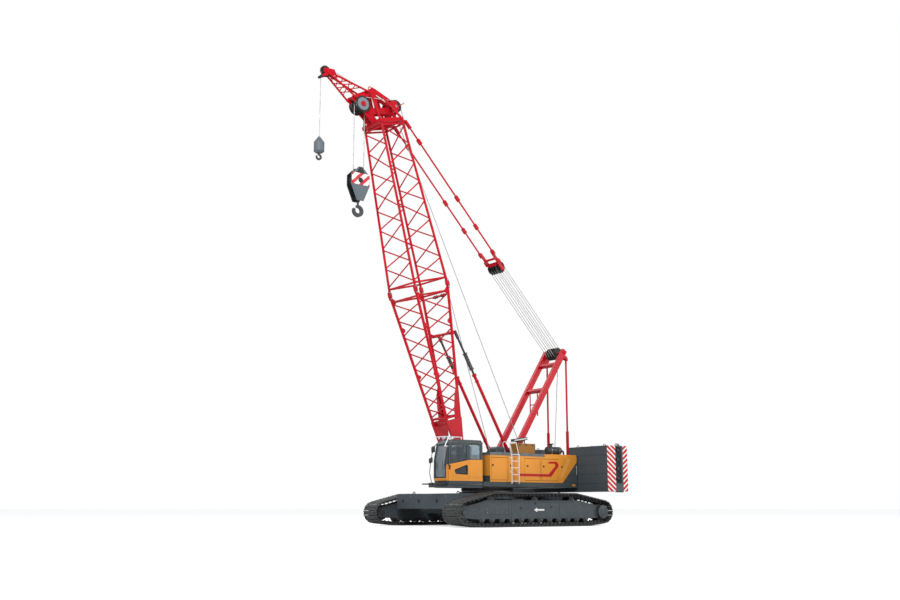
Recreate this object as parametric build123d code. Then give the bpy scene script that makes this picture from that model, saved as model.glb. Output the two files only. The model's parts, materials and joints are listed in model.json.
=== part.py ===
from build123d import *
from math import atan2, ceil, cos, degrees, hypot, radians, sin
import os

# Crawler crane with a lattice boom, raised ready for work, in millimetres.
# +X points to the front of the machine, +Y to its left and +Z up. Shapes are drawn about the slewing
# axis, and everything is moved by SLEW_X when it is written, which centres the whole machine's box.
SLEW_X = -1797
GAP = 0.3  # between pieces that seat on each other
RUN = 10  # between pieces that move past each other

# Undercarriage
TRACK_LENGTH = 7920
TRACK_GAUGE = 5560  # centre to centre of the tracks
TRACK_HEIGHT = 1295
SHOE_WIDTH = 990
SHOE_PITCH = 200
SHOE_GAP = 34
SHOE_STEP = 45  # how far the shoes stand out of the band that joins them
TRACK_BAND = 140  # shoe and link together
IDLER_RIM = 450  # outer face of the shoes round each wheel
IDLER_Z = 530
DRIVE_RIM = 460
DRIVE_Z = 560
CARRIER_RIM = 300
CARRIER_SETBACK = (1310, 1550)  # from the idler's axle, and from the drive axle
ROLLER_RADIUS = 125
ROLLER_PITCH = 480
ROLLER_SETBACK = 860  # from the idler's axle to the first roller
FRAME_WIDTH = 520
FRAME_WALL = 50
FRAME_LOW = 300
FRAME_HIGH = 1000
CARBODY_HALF = 1450
CARBODY_LOW = 430
BEAM_X = 1000  # from the slewing axis to each cross beam
BEAM_WIDTH = 520
BEAM_LOW = 480
BEAM_HIGH = 1060
RING_RADIUS = 1050
RING_WALL = 230
RING_LOW = 1340
CARBODY_WEIGHT_FRONT = 3000
CARBODY_WEIGHT_DEPTH = 760
CARBODY_WEIGHT_LOW = 680
CARBODY_WEIGHT_HIGH = 1266

# Upper structure
DECK_LOW = 1540
DECK_HIGH = 1730
DECK_HALF = 1500
DECK_REAR = -3670
DECK_FRONT = 1900
WALL_OUT = 600  # outer face of the two long walls that carry the boom, winches and gantry
WALL = 40
WALL_HIGH = 2450
HOUSING_INNER = 800
HOUSING_FRONT = 1030
HOUSING_REAR = -3660
HOUSING_HIGH = 2780
HOUSING_REAR_HIGH = HOUSING_HIGH + 120
HOUSING_RISE = (-1880, -2100)
HOUSING_CHAMFER = (-2850, 2600)
SHEET = 40
DOOR_LOW = 1800
DOOR_HIGH = HOUSING_HIGH - 80
DOOR_SEAM = 14
HINGE = 26
ROOF = 120
DOORS = [  # name, front edge, rear edge
    ("front", 980, 90),
    ("middle", -770, -1630),
    ("rear", -1680, -2600),
]

# Cab
CAB_INNER = 620
CAB_FRONT = 3150
CAB_REAR = 1370
CAB_LOW = 1560
CAB_HIGH = 3340
CAB_WALL = 45
CAB_SIDE = 1455  # outer face of the cab's left wall; the door slides outside it
CAB_DOOR_FRONT = 3060
CAB_DOOR_REAR = 2130
CAB_DOOR_LOW = 1630
CAB_DOOR_HIGH = 3210
CAB_DOOR_THICK = 36
CAB_DOOR_ROLLER = 60
FOOT_WINDOW = [(2770, 2150), (2170, 2360), (2170, 2010), (2710, 2030)]  # low pane of the door, in x and z
CAB_SILL = 2430
GLASS = 8
GLASS_INSET = 18
SEAT = (2150, 1040)

# Counterweight
WEIGHT_FRONT = -3720
WEIGHT_DEPTH = 1160
WEIGHT_HALF = 3270
WEIGHT_INNER = 970
WEIGHT_LOW = 1376
WEIGHT_BASE = 330
WEIGHT_HIGH = 3244
WEIGHT_SLABS = 4

# Winches
DRUM_HALF = 470
DRUM_RADIUS = 250
DRUM_FLANGE = 390
DRUM_SHAFT = 70
DRUMS = [  # name, x, z
    ("front_hoist_drum", 100, 2250),
    ("rear_hoist_drum", -1150, 2250),
    ("boom_hoist_drum", -2500, 2250),
]

# Boom, drawn upright along +Z from its foot pin, with +X towards its front face
BOOM_ANGLE = 75
FOOT_X = 1500
FOOT_Z = 2000
FOOT_PIN = 140
FOOT_EYE = 340
FOOT_INNER = 430
FOOT_OUTER = 550
LEG_NECK = 1000  # up to here the legs are as wide as their eyes
LEG_TOP = 2300
JOINT_U = 7700
TOP_U = 14600
CHORD = 116
LACING = 56
END_LACING = 80  # the cross bars next to a section's ends
LACING_STEP = 30  # from a panel point to each lacing bar that ends there
COUPLING = 170  # half the length of the pinned joint of two chords
SECTIONS = [  # height up the boom, half the width and half the depth between chord centres
    (LEG_TOP, 490, 330),
    (JOINT_U, 925, 810),
    (TOP_U, 620, 520),
]
FOOT_PANELS = (8, 1.2)  # number of panels, and how fast they lengthen up the boom
TOP_PANELS = (8, 1.0)
HEAD_PLATE = 40
HEAD_HALF = 200  # outer face of the head plates
HEAD_WINDOWS = [  # the openings between the members of a head plate
    [(-400, 14830), (420, 14830), (560, 15060), (-400, 15060)],
    [(-400, 15310), (210, 15310), (210, 15890), (-400, 15470)],
    [(400, 15310), (750, 15310), (850, 15660), (650, 15800), (400, 15850)],
]
HEAD_SHEAVES_Y = (-250, -100, 100, 250)
GUIDE_SHEAVES_Y = (-250, 250)
GUIDE_RADIUS = 240
SHEAVE = 300  # radius at the middle of the rope
ROPE = 26
SHEAVE_THICK = 70
SHEAVE_SHAFT = 84
HEAD_SHEAVE = (980, 15480)
GUIDE_SHEAVE = (-600, 15330)
APEX = (300, 16120)  # top of the head plates
LUG = (-820, 14640)  # pendant lugs on the head
LUG_Y = 420
JIB_TIP = (2260, 16930)
JIB_ROOT_LOW = (1300, 15780)
JIB_ROOT_HIGH = (600, 15960)
JIB_HALF = 310
JIB_TIP_HALF = 110
JIB_TUBE = 80
JIB_LACING = 40
JIB_PANELS = 4
JIB_LACED = (0.18, 0.8)  # the share of the jib's length that is laced

# Gantry
FORK_GAP = 5
GANTRY_PIN = 90
GANTRY_FOOT = (-950, 2900)
GANTRY_HEAD = (-3850, 7420)
REAR_LEG_X = -3980
REAR_LEG_FOOT = 2650
LEG_BOX = (230, 170)
REAR_LEG = 80
REAR_LEG_BASE = 130
REAR_LEG_PIN = 60
REAR_LEG_TOP = 7170

# Boom backstops
STOP_FOOT = (-600, 3100)
STOP_HEAD = (2070, 7760)
STOP_TUBE = 130
STOP_TUBE_LENGTH = 3450
STOP_ROD = 90
STOP_PIN = 70
STOP_TRAVEL = 210  # room that the rod needs to slide into the tube
STOP_COLLAR = 80  # length of the tube's end in which the rod is guided

# Boom hoist line: bridle and pendants, drawn along +X from the gantry sheaves
BRIDLE_SHEAVES = 4780
BRIDLE_PIN = 5540
LINE_SHEAVE = 230
GANTRY_ROPES_Y = (-230, -85, 85, 230)
BRIDLE_ROPES_Y = (-230, -85, 85, 230)
PENDANT = 70
PENDANT_JOINTS = (6870, 8330, 11200)
FORK_THROAT = 260  # from the boom lug's pin to the closed end of a pendant's fork

# Hooks, hanging from the boom head
BLOCK_AXLE = 3200  # below the head sheaves
BLOCK_CHEEK = 40
BLOCK_INNER = 150
BLOCK_TOP = 560
BLOCK_FOOT = 830
FALLS_Y = (-100, 100)
HOOK_DROP = 1230  # from the block's axle to the middle of the hook's bowl
HOOK_RADIUS = 240
HOOK_THICK = 110
HOOK_HOLLOW = (0.5, 0.06, 0.08)  # radius of the bowl's hollow and its shift, as shares of the hook's radius
AUX_SHEAVE = 200
AUX_DROP = 3200  # from the jib sheave to the middle of the weight
AUX_RADIUS = 210
AUX_HALF = 240
AUX_NOSE = 170
AUX_HOOK_DROP = 420
AUX_HOOK_RADIUS = 125
AUX_HOOK_THICK = 60

# On the deck and the housings
TANK = ((1080, 1860), (-1480, -820), (1730, 2450))
TOOL_BOX = ((-1400, -420), (960, 1450), 400)
MUFFLER = (-2850, 1150, 165, 700)
LADDER_X = (-350, 20)
LADDER_Y = 1640
LADDER_LOW = 1650
LADDER_HIGH = 3330
RUNG_PITCH = 270


def side_plane(y):
    """The plane at one y value, seen from the right, whose own axes are x and z."""
    return Plane(origin=(0, y, 0), x_dir=(1, 0, 0), z_dir=(0, -1, 0))


def slab(outline, y_low, y_high):
    """A plate between two y values whose outline, in x and z, is a list of points or a sketch."""
    face = outline if isinstance(outline, Sketch) else make_face(Polyline(*outline, close=True))
    return extrude(side_plane(y_high) * face, y_high - y_low)


def block(x, y, z):
    """A box between three pairs of limits."""
    corner = (min(x), min(y), min(z))
    return Solid.make_box(abs(x[1] - x[0]), abs(y[1] - y[0]), abs(z[1] - z[0]), Plane(origin=corner))


def bar(start, end, diameter):
    """A round bar from one point to another."""
    run = Vector(*end) - Vector(*start)
    return Solid.make_cylinder(diameter / 2, run.length, Plane(origin=start, z_dir=run))


def cross_bar(x, z, y_low, y_high, diameter):
    """A round bar along Y."""
    return bar((x, y_low, z), (x, y_high, z), diameter)


def joined(shapes):
    """Several touching shapes as one."""
    return Part() + shapes


def both(low, high):
    """The same stretch of y on the right and on the left of the machine."""
    return ((-high, -low), (low, high))


def sheave(x, z, y, radius=SHEAVE):
    """A rope wheel with a groove for the rope, a thin web and a hub that turns on its shaft."""
    rim = radius + ROPE * 1.2
    floor = radius - ROPE / 2 - GAP
    half = SHEAVE_THICK / 2
    web = SHEAVE_THICK / 5
    bore = SHEAVE_SHAFT / 2 + GAP
    side = [
        (bore, half), (SHEAVE_SHAFT, half), (SHEAVE_SHAFT + 20, web), (floor - 40, web), (floor - 20, half),
        (rim, half), (floor, ROPE / 2),
    ]
    profile = Polyline(*side, *[(r, -w) for r, w in reversed(side)], close=True)
    wheel = revolve(Plane.XZ * make_face(profile), Axis.Z)
    return Pos(x, y, z) * Rot(90, 0, 0) * wheel


# Undercarriage -------------------------------------------------------------------------------------

IDLER_X = TRACK_LENGTH / 2 - IDLER_RIM
DRIVE_X = DRIVE_RIM - TRACK_LENGTH / 2
CARRIER_Z = TRACK_HEIGHT - CARRIER_RIM
ROLLER_Z = TRACK_BAND + GAP + ROLLER_RADIUS
ROLLER_SPAN = IDLER_X - DRIVE_X - 2 * ROLLER_SETBACK
ROLLER_COUNT = round(ROLLER_SPAN / ROLLER_PITCH) + 1
ROLLERS_X = [DRIVE_X + ROLLER_SETBACK + ROLLER_SPAN * k / (ROLLER_COUNT - 1) for k in range(ROLLER_COUNT)]
CARRIERS_X = (IDLER_X - CARRIER_SETBACK[0], (IDLER_X + DRIVE_X) / 2, DRIVE_X + CARRIER_SETBACK[1])
TRACK_WHEELS = [  # x, z and radius at the outer face of the shoes
    (IDLER_X, IDLER_Z, IDLER_RIM),
    (CARRIERS_X[0], CARRIER_Z, CARRIER_RIM),
    (CARRIERS_X[2], CARRIER_Z, CARRIER_RIM),
    (DRIVE_X, DRIVE_Z, DRIVE_RIM),
    (ROLLERS_X[0], TRACK_BAND + ROLLER_RADIUS, TRACK_BAND + ROLLER_RADIUS),
    (ROLLERS_X[-1], TRACK_BAND + ROLLER_RADIUS, TRACK_BAND + ROLLER_RADIUS),
]


def belt(inset):
    """The flat shape that the track runs round, this far inside the outer face of its shoes."""
    return make_hull([Edge.make_circle(r - inset, Plane(origin=(x, z, 0))) for x, z, r in TRACK_WHEELS])


def track(side):
    """One endless track: its shoes stand out of the band of links, with a gap between each two."""
    line = belt(0).face().outer_wire()
    middle = Vector(0, TRACK_HEIGHT / 2)
    count = round(line.length / SHOE_PITCH)
    edge = SHOE_GAP / 2 / line.length
    outline = []
    for k in range(count):
        for share, depth in (
            (k / count + edge, SHOE_STEP), (k / count + edge, 0),
            ((k + 1) / count - edge, 0), ((k + 1) / count - edge, SHOE_STEP),
        ):
            point, along = line.position_at(share), line.tangent_at(share)
            inward = Vector(-along.Y, along.X)
            if inward.dot(middle - point) < 0:
                inward = -inward
            outline.append(point + inward * depth)
    face = make_face(Polyline(*outline, close=True)) - belt(TRACK_BAND)
    y = side * TRACK_GAUGE / 2
    return slab(face, y - SHOE_WIDTH / 2, y + SHOE_WIDTH / 2)


def track_frame(side):
    """One side frame: two plates with a box between them that ends clear of the end wheels."""
    nose = IDLER_X + 200
    tail = DRIVE_X - 200
    outline = [
        (tail, IDLER_Z - 170), (tail, IDLER_Z + 230), (DRIVE_X + 640, FRAME_HIGH - 110),
        (CARRIERS_X[2] - 380, FRAME_HIGH), (CARRIERS_X[0] + 260, FRAME_HIGH),
        (IDLER_X - 540, FRAME_HIGH - 130), (nose, IDLER_Z + 190), (nose, IDLER_Z - 170), (ROLLERS_X[-1] + 310, FRAME_LOW),
        (ROLLERS_X[0] - 310, FRAME_LOW),
    ]
    y = side * TRACK_GAUGE / 2
    half = FRAME_WIDTH / 2
    plates = [slab(outline, y + low, y + high) for low, high in both(half - FRAME_WALL, half)]
    clear = (DRIVE_X + DRIVE_RIM - TRACK_BAND + 60, IDLER_X - IDLER_RIM + TRACK_BAND - 60)
    roof = FRAME_HIGH - 150
    box = block(clear, (y - half, y + half), (ROLLER_Z + ROLLER_RADIUS + 25, roof))
    top = block((CARRIERS_X[2] - 380, CARRIERS_X[0] + 260), (y - half, y + half), (roof, FRAME_HIGH - 20))
    frame = joined([*plates, box, top])
    for x in CARRIERS_X:
        ears = [
            slab([(x - 170, FRAME_HIGH - 60), (x - 60, CARRIER_Z + 60), (x + 60, CARRIER_Z + 60),
                  (x + 170, FRAME_HIGH - 60)], y + low, y + high)
            for low, high in both(half - FRAME_WALL, half)
        ]
        frame = frame + ears
    pocket = CARRIER_RIM - TRACK_BAND + 20
    for x in CARRIERS_X:
        frame = frame - cross_bar(x, CARRIER_Z, y - half + FRAME_WALL, y + half - FRAME_WALL, 2 * pocket)
        frame = frame - cross_bar(x, CARRIER_Z, y - half, y + half, 60 + 2 * GAP)
    for x in ROLLERS_X:
        frame = frame - cross_bar(x, ROLLER_Z, y - half, y + half, 70 + 2 * GAP)
    frame = frame - cross_bar(IDLER_X, IDLER_Z, y - half, y + half, 120 + 2 * GAP)
    frame = frame - cross_bar(DRIVE_X, DRIVE_Z, y - half, y + half, 240 + 2 * GAP)
    return frame


def wheel_set(x, z, y, radius, width, shaft, reach, cap=None):
    """A wheel with its shaft and, on request, a cap on each end of the shaft."""
    pieces = [
        cross_bar(x, z, y - width / 2, y + width / 2, 2 * radius),
        cross_bar(x, z, y - reach, y + reach, shaft),
    ]
    if cap:
        ends = both(FRAME_WIDTH / 2 + GAP, reach)
        pieces += [cross_bar(x, z, y + low, y + high, cap) for low, high in ends]
    return joined(pieces)


def rollers():
    """The rollers that the machine stands on and those that carry the upper run of the tracks."""
    found = []
    width = FRAME_WIDTH - 2 * FRAME_WALL - 10
    for side in (-1, 1):
        y = side * TRACK_GAUGE / 2
        for x in ROLLERS_X:
            found.append(wheel_set(x, ROLLER_Z, y, ROLLER_RADIUS, width, 70, FRAME_WIDTH / 2 + 25))
        for x in CARRIERS_X:
            radius = CARRIER_RIM - TRACK_BAND - GAP
            found.append(wheel_set(x, CARRIER_Z, y, radius, width, 60, FRAME_WIDTH / 2 + 20))
    return found


def idlers():
    """The front wheels of the tracks."""
    width = FRAME_WIDTH - 2 * FRAME_WALL - 20
    return [
        wheel_set(IDLER_X, IDLER_Z, side * TRACK_GAUGE / 2, IDLER_RIM - TRACK_BAND - GAP, width, 120,
                  FRAME_WIDTH / 2 + 40, 200)
        for side in (-1, 1)
    ]


def drive_sprockets():
    """The rear wheels of the tracks, with their gear housings outside the frames."""
    width = FRAME_WIDTH - 2 * FRAME_WALL - 20
    return [
        wheel_set(DRIVE_X, DRIVE_Z, side * TRACK_GAUGE / 2, DRIVE_RIM - TRACK_BAND - GAP, width, 240,
                  FRAME_WIDTH / 2 + 130, 540)
        for side in (-1, 1)
    ]


def carbody():
    """The middle of the undercarriage, with a cross beam to each track frame at front and rear."""
    beam_end = TRACK_GAUGE / 2 - FRAME_WIDTH / 2 - GAP
    body = block((-CARBODY_HALF, CARBODY_HALF), (-CARBODY_HALF, CARBODY_HALF), (CARBODY_LOW, BEAM_HIGH))
    seat = Solid.make_cylinder(RING_RADIUS + 120, RING_LOW - BEAM_HIGH, Plane(origin=(0, 0, BEAM_HIGH)))
    beams = [
        block((x - BEAM_WIDTH / 2, x + BEAM_WIDTH / 2), (-beam_end, beam_end), (BEAM_LOW, BEAM_HIGH))
        for x in (-BEAM_X, BEAM_X)
    ]
    inner = CARBODY_WEIGHT_FRONT - CARBODY_WEIGHT_DEPTH - GAP
    arms = [
        block((-inner, inner), (low, high), (CARBODY_WEIGHT_LOW, BEAM_HIGH - 60))
        for low, high in both(500, 900)
    ]
    well = Solid.make_cylinder(RING_RADIUS - RING_WALL, RING_LOW, Plane(origin=(0, 0, CARBODY_LOW + 60)))
    return joined([body, seat, *beams, *arms]) - well


def carbody_weights():
    """The blocks hung on the front and rear of the carbody, between the tracks."""
    half = TRACK_GAUGE / 2 - SHOE_WIDTH / 2 - 35
    found = []
    for side in (-1, 1):
        stretch = (side * (CARBODY_WEIGHT_FRONT - CARBODY_WEIGHT_DEPTH), side * CARBODY_WEIGHT_FRONT)
        weight = Part() + block(stretch, (-half, half), (CARBODY_WEIGHT_LOW, CARBODY_WEIGHT_HIGH))
        found.append(chamfer(weight.edges().filter_by(Axis.Z), 60))
    return found


def slewing_ring():
    """The bearing ring between the carbody and the deck."""
    height = DECK_LOW - RING_LOW - 2 * GAP
    low = Plane(origin=(0, 0, RING_LOW + GAP))
    ring = Solid.make_cylinder(RING_RADIUS, height, low)
    return ring - Solid.make_cylinder(RING_RADIUS - RING_WALL, height, low)


# Upper structure -----------------------------------------------------------------------------------

def wall_middle():
    """The middle of each long wall, on which the gantry legs and backstops are forked."""
    return WALL_OUT - WALL / 2


def deck_frame():
    """The floor of the upper structure and the two long walls that carry boom, winches and gantry."""
    floor = block((DECK_REAR, DECK_FRONT), (-DECK_HALF, DECK_HALF), (DECK_LOW, DECK_HIGH))
    cab_room = block((CAB_REAR - RUN, DECK_FRONT + 1), (CAB_INNER - RUN, DECK_HALF + 1),
                     (DECK_LOW - 1, DECK_HIGH + 1))
    floor = floor - cab_room
    cab_floor = block((CAB_REAR, CAB_FRONT - 60), (WALL_OUT, CAB_SIDE), (DECK_LOW - 60, CAB_LOW - GAP))
    tail_low = WEIGHT_LOW + WEIGHT_BASE + GAP
    rear_x = WEIGHT_FRONT - WEIGHT_DEPTH + 60
    tail = block((rear_x, DECK_REAR), (-WALL_OUT, WALL_OUT), (tail_low, tail_low + 120))
    stop, leg = STOP_FOOT, GANTRY_FOOT
    outline = [
        (FOOT_X + 260, DECK_LOW), (FOOT_X + 230, FOOT_Z + 60), (FOOT_X + 90, FOOT_Z + 210),
        (FOOT_X - 150, WALL_HIGH), (stop[0] + 520, WALL_HIGH), (stop[0] + 80, stop[1] + 40),
        (stop[0] + 30, stop[1] + 85), (stop[0] - 60, stop[1] + 75), (leg[0] + 60, leg[1] + 110),
        (leg[0] - 80, leg[1] + 90), (leg[0] - 120, leg[1]), (leg[0] - 420, WALL_HIGH),
        (REAR_LEG_X + 430, WALL_HIGH), (REAR_LEG_X + 130, REAR_LEG_FOOT + 100),
        (REAR_LEG_X - 130, REAR_LEG_FOOT + 100), (REAR_LEG_X - 330, WALL_HIGH - 300), (rear_x, tail_low + 110),
        (DECK_REAR, tail_low + 10), (DECK_REAR, DECK_LOW),
    ]
    walls = [slab(outline, low, high) for low, high in both(WALL_OUT - WALL, WALL_OUT)]
    inner = FOOT_INNER - RUN
    ears = [
        slab([(FOOT_X + 260, DECK_HIGH - 10), (FOOT_X + 230, FOOT_Z + 60), (FOOT_X + 90, FOOT_Z + 210),
              (FOOT_X - 150, FOOT_Z + 210), (FOOT_X - 300, DECK_HIGH - 10)], low, high)
        for low, high in both(inner - WALL, inner)
    ]
    (chamfer_x, low), (rear, high) = (HOUSING_CHAMFER[0], DECK_HIGH - 10), (HOUSING_REAR, HOUSING_CHAMFER[1])
    corners = [
        slab([(chamfer_x - 40, low), (rear - 10, high), (rear - 10, low)], y0, y1)
        for y0, y1 in both(DECK_HALF - SHEET, DECK_HALF)
    ]
    frame = joined([floor, cab_floor, *walls, *ears, *corners, tail])
    for _, x, z in DRUMS:
        frame = frame - cross_bar(x, z, -WALL_OUT - 1, WALL_OUT + 1, DRUM_SHAFT + 1)
    frame = frame - cross_bar(*GANTRY_FOOT, -WALL_OUT - 1, WALL_OUT + 1, GANTRY_PIN + 1)
    pins = [cross_bar(FOOT_X, FOOT_Z, low, high, FOOT_PIN) for low, high in both(inner - 30, WALL_OUT)]
    y = wall_middle()
    pins += [cross_bar(*STOP_FOOT, low, high, STOP_PIN) for low, high in both(y - 60, y + 60)]
    pins += [
        cross_bar(REAR_LEG_X, REAR_LEG_FOOT, low, high, REAR_LEG_PIN) for low, high in both(y, WALL_OUT + 50)
    ]
    return frame + pins


def side_outline():
    """The side of a machinery housing, in x and z."""
    return [
        (HOUSING_FRONT, DECK_HIGH + GAP), (HOUSING_FRONT, HOUSING_HIGH), (HOUSING_RISE[0], HOUSING_HIGH),
        (HOUSING_RISE[1], HOUSING_REAR_HIGH), (HOUSING_REAR, HOUSING_REAR_HIGH),
        (HOUSING_REAR, HOUSING_CHAMFER[1]), (HOUSING_CHAMFER[0], DECK_HIGH + GAP),
    ]


def housing(side):
    """One machinery housing: a sheet shell with an opening behind each door."""
    outer = slab(side_outline(), HOUSING_INNER, DECK_HALF)
    face = make_face(Polyline(*side_outline(), close=True))
    hollow = slab(offset(face, -SHEET, kind=Kind.INTERSECTION), HOUSING_INNER + SHEET, DECK_HALF - SHEET)
    shell = outer - hollow
    for _, front, rear in DOORS:
        shell = shell - block((rear, front), (DECK_HALF - SHEET - 1, DECK_HALF + 1), (DOOR_LOW, DOOR_HIGH))
    return shell if side > 0 else mirror(shell, Plane.XZ)


def housing_door(side, front, rear):
    """One side door, flush with the housing and hung on two barrels at its rear edge."""
    panel = block((rear + DOOR_SEAM, front - DOOR_SEAM), (DECK_HALF - SHEET, DECK_HALF),
                  (DOOR_LOW + DOOR_SEAM, DOOR_HIGH - DOOR_SEAM))
    pieces = [panel]
    for z in (DOOR_LOW + 120, DOOR_HIGH - 240):
        pieces.append(bar((rear, DECK_HALF + HINGE / 2, z), (rear, DECK_HALF + HINGE / 2, z + 120), HINGE - 2))
        pieces.append(block((rear, rear + 60), (DECK_HALF - 1, DECK_HALF + 8), (z, z + 120)))
    door = joined(pieces)
    return door if side > 0 else mirror(door, Plane.XZ)


def engine_block():
    """The engine, as one plain block inside the left housing."""
    low = DECK_HIGH + SHEET + 2 * GAP
    return block((-2750, -1350), (HOUSING_INNER + 80, DECK_HALF - 140), (low, HOUSING_HIGH - 280))


def roof_walkways():
    """The raised walkways on top of the two housings."""
    return [
        block((HOUSING_RISE[0] + 30, HOUSING_FRONT), (low, high), (HOUSING_HIGH + GAP, HOUSING_HIGH + ROOF))
        for low, high in both(HOUSING_INNER, DECK_HALF)
    ]


def fuel_tank():
    """The fuel tank ahead of the right housing."""
    x, y, z = TANK
    tank = Part() + block(x, y, (DECK_HIGH + GAP, z[1]))
    return fillet(tank.edges().filter_by(Axis.X), 60)


def tool_box():
    """The box on the left walkway."""
    x, y, height = TOOL_BOX
    low = HOUSING_HIGH + ROOF + GAP
    return block(x, y, (low, low + height))


def exhaust_muffler():
    """The muffler on the left housing's raised rear, on two saddles, with its tail pipe."""
    x, y, radius, length = MUFFLER
    z = HOUSING_REAR_HIGH + GAP + radius + 30
    pieces = [bar((x - length / 2, y, z), (x + length / 2, y, z), 2 * radius)]
    pieces += [
        block((x + dx - 30, x + dx + 30), (y - 110, y + 110), (HOUSING_REAR_HIGH + GAP, z - 40))
        for dx in (-220, 220)
    ]
    pieces.append(bar((x - 200, y, z), (x - 200, y, z + 420), 110))
    return joined(pieces)


def access_ladder():
    """The ladder up the left side, on brackets from the deck's edge and the walkway."""
    pieces = []
    for x in LADDER_X:
        pieces.append(bar((x, LADDER_Y, LADDER_LOW), (x, LADDER_Y, LADDER_HIGH), 40))
        pieces.append(bar((x, LADDER_Y, LADDER_HIGH), (x, LADDER_Y - 400, LADDER_HIGH), 40))
        foot = (x, LADDER_Y - 400, HOUSING_HIGH + ROOF + GAP)
        pieces.append(bar((x, LADDER_Y - 400, LADDER_HIGH + 20), foot, 40))
        for z in (LADDER_LOW + 40, HOUSING_HIGH + ROOF / 2):
            pieces.append(bar((x, LADDER_Y, z), (x, DECK_HALF + GAP, z), 36))
    count = int((LADDER_HIGH - 300 - LADDER_LOW) / RUNG_PITCH) + 1
    for k in range(count):
        z = LADDER_LOW + 60 + k * RUNG_PITCH
        pieces.append(bar((LADDER_X[0], LADDER_Y, z), (LADDER_X[1], LADDER_Y, z), 32))
    return joined(pieces)


def counterweight_base():
    """The tray that lies under both stacks of weights, across the rear."""
    rear = WEIGHT_FRONT - WEIGHT_DEPTH
    return block((rear, WEIGHT_FRONT), (-WEIGHT_HALF, WEIGHT_HALF), (WEIGHT_LOW, WEIGHT_LOW + WEIGHT_BASE))


def counterweight_slabs():
    """The stacked weights on the left and right of the tray, with a lifting recess in each outer end."""
    rear = WEIGHT_FRONT - WEIGHT_DEPTH
    low = WEIGHT_LOW + WEIGHT_BASE
    each = (WEIGHT_HIGH - low) / WEIGHT_SLABS
    found = []
    for side in (-1, 1):
        for k in range(WEIGHT_SLABS):
            z = (low + k * each + GAP, low + (k + 1) * each)
            slab_k = block((rear, WEIGHT_FRONT), (side * WEIGHT_INNER, side * WEIGHT_HALF), z)
            depth = (side * (WEIGHT_HALF - 130), side * (WEIGHT_HALF + 1))
            recess = block((rear + 330, WEIGHT_FRONT - 470), depth, (z[0] - 1, z[1] + 1))
            found.append(slab_k - recess)
    return found


def drum(x, z):
    """A winch drum with its flanges and shaft."""
    shell = 30
    half = DRUM_HALF
    return joined([
        cross_bar(x, z, -half, half, 2 * DRUM_RADIUS),
        *[cross_bar(x, z, low, high, 2 * DRUM_FLANGE) for low, high in both(half - shell, half)],
        cross_bar(x, z, -WALL_OUT - 20, WALL_OUT + 20, DRUM_SHAFT),
    ])


def cab_outline():
    """The cab's side, in x and z: upright rear, rounded roof edges and a bowed front."""
    return [
        (CAB_REAR, CAB_LOW), (CAB_REAR, CAB_HIGH - 90), (CAB_REAR + 90, CAB_HIGH), (CAB_FRONT - 330, CAB_HIGH),
        (CAB_FRONT - 130, CAB_HIGH - 150), (CAB_FRONT, CAB_HIGH - 800), (CAB_FRONT, CAB_LOW + 260),
        (CAB_FRONT - 110, CAB_LOW),
    ]


def cab_windows(margin):
    """The openings of the cab's front, rear left, inner and rear windows, smaller by the margin."""
    deep = CAB_WALL + 1
    left = (CAB_SIDE - deep, CAB_SIDE + 1)
    right = (CAB_INNER - 1, CAB_INNER + deep)
    high = CAB_HIGH - 190 - margin
    side = (CAB_REAR + 120 + margin, CAB_DOOR_REAR - 110 - margin)
    return {
        "front": block((CAB_FRONT - 260, CAB_FRONT + 1), (CAB_INNER + 70 + margin, CAB_SIDE - 70 - margin),
                       (1880 + margin, high - 20)),
        "left": block(side, left, (CAB_SILL + margin, high)),
        "inner": block((side[0], CAB_FRONT - 420 - margin), right, (CAB_SILL - 130 + margin, high)),
        "rear": block((CAB_REAR - 1, CAB_REAR + deep), (CAB_INNER + 130 + margin, CAB_SIDE - 130 - margin),
                      (CAB_SILL + margin, high)),
    }


def cab_shell():
    """The cab's walls, roof and floor, with the doorway and windows cut."""
    outer = slab(cab_outline(), CAB_INNER, CAB_SIDE)
    face = make_face(Polyline(*cab_outline(), close=True))
    inner = offset(face, -CAB_WALL, kind=Kind.INTERSECTION)
    shell = outer - slab(inner, CAB_INNER + CAB_WALL, CAB_SIDE - CAB_WALL)
    doorway = block((CAB_DOOR_REAR + 50, CAB_DOOR_FRONT - 50), (CAB_SIDE - CAB_WALL - 1, CAB_SIDE + 1),
                    (CAB_DOOR_LOW + 50, CAB_DOOR_HIGH - 60))
    return shell - [doorway, *cab_windows(0).values()]


def cab_glass():
    """The fixed panes, each seated in its opening."""
    face = make_face(Polyline(*cab_outline(), close=True))
    y_low, y_high = CAB_INNER + GLASS_INSET, CAB_SIDE - GLASS_INSET
    skin = slab(offset(face, -GLASS_INSET, kind=Kind.INTERSECTION), y_low, y_high)
    core = slab(offset(face, -GLASS_INSET - GLASS, kind=Kind.INTERSECTION), y_low + GLASS, y_high - GLASS)
    skin = skin - core
    return [skin & opening for opening in cab_windows(GAP).values()]


def cab_door_place():
    """The stretch of y that the sliding door fills, just outside the cab's wall."""
    return CAB_SIDE + RUN, CAB_SIDE + RUN + CAB_DOOR_THICK


def door_window(margin):
    """The openings of the sliding door's two windows, smaller by the margin."""
    low, high = cab_door_place()
    upper = block((CAB_DOOR_REAR + 80 + margin, CAB_DOOR_FRONT - 90 - margin), (low - 1, high + 1),
                  (CAB_SILL + margin, CAB_DOOR_HIGH - 90 - margin))
    lower = offset(make_face(Polyline(*FOOT_WINDOW, close=True)), -margin, kind=Kind.INTERSECTION)
    return [upper, slab(Sketch() + lower, low - 1, high + 1)]


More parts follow.
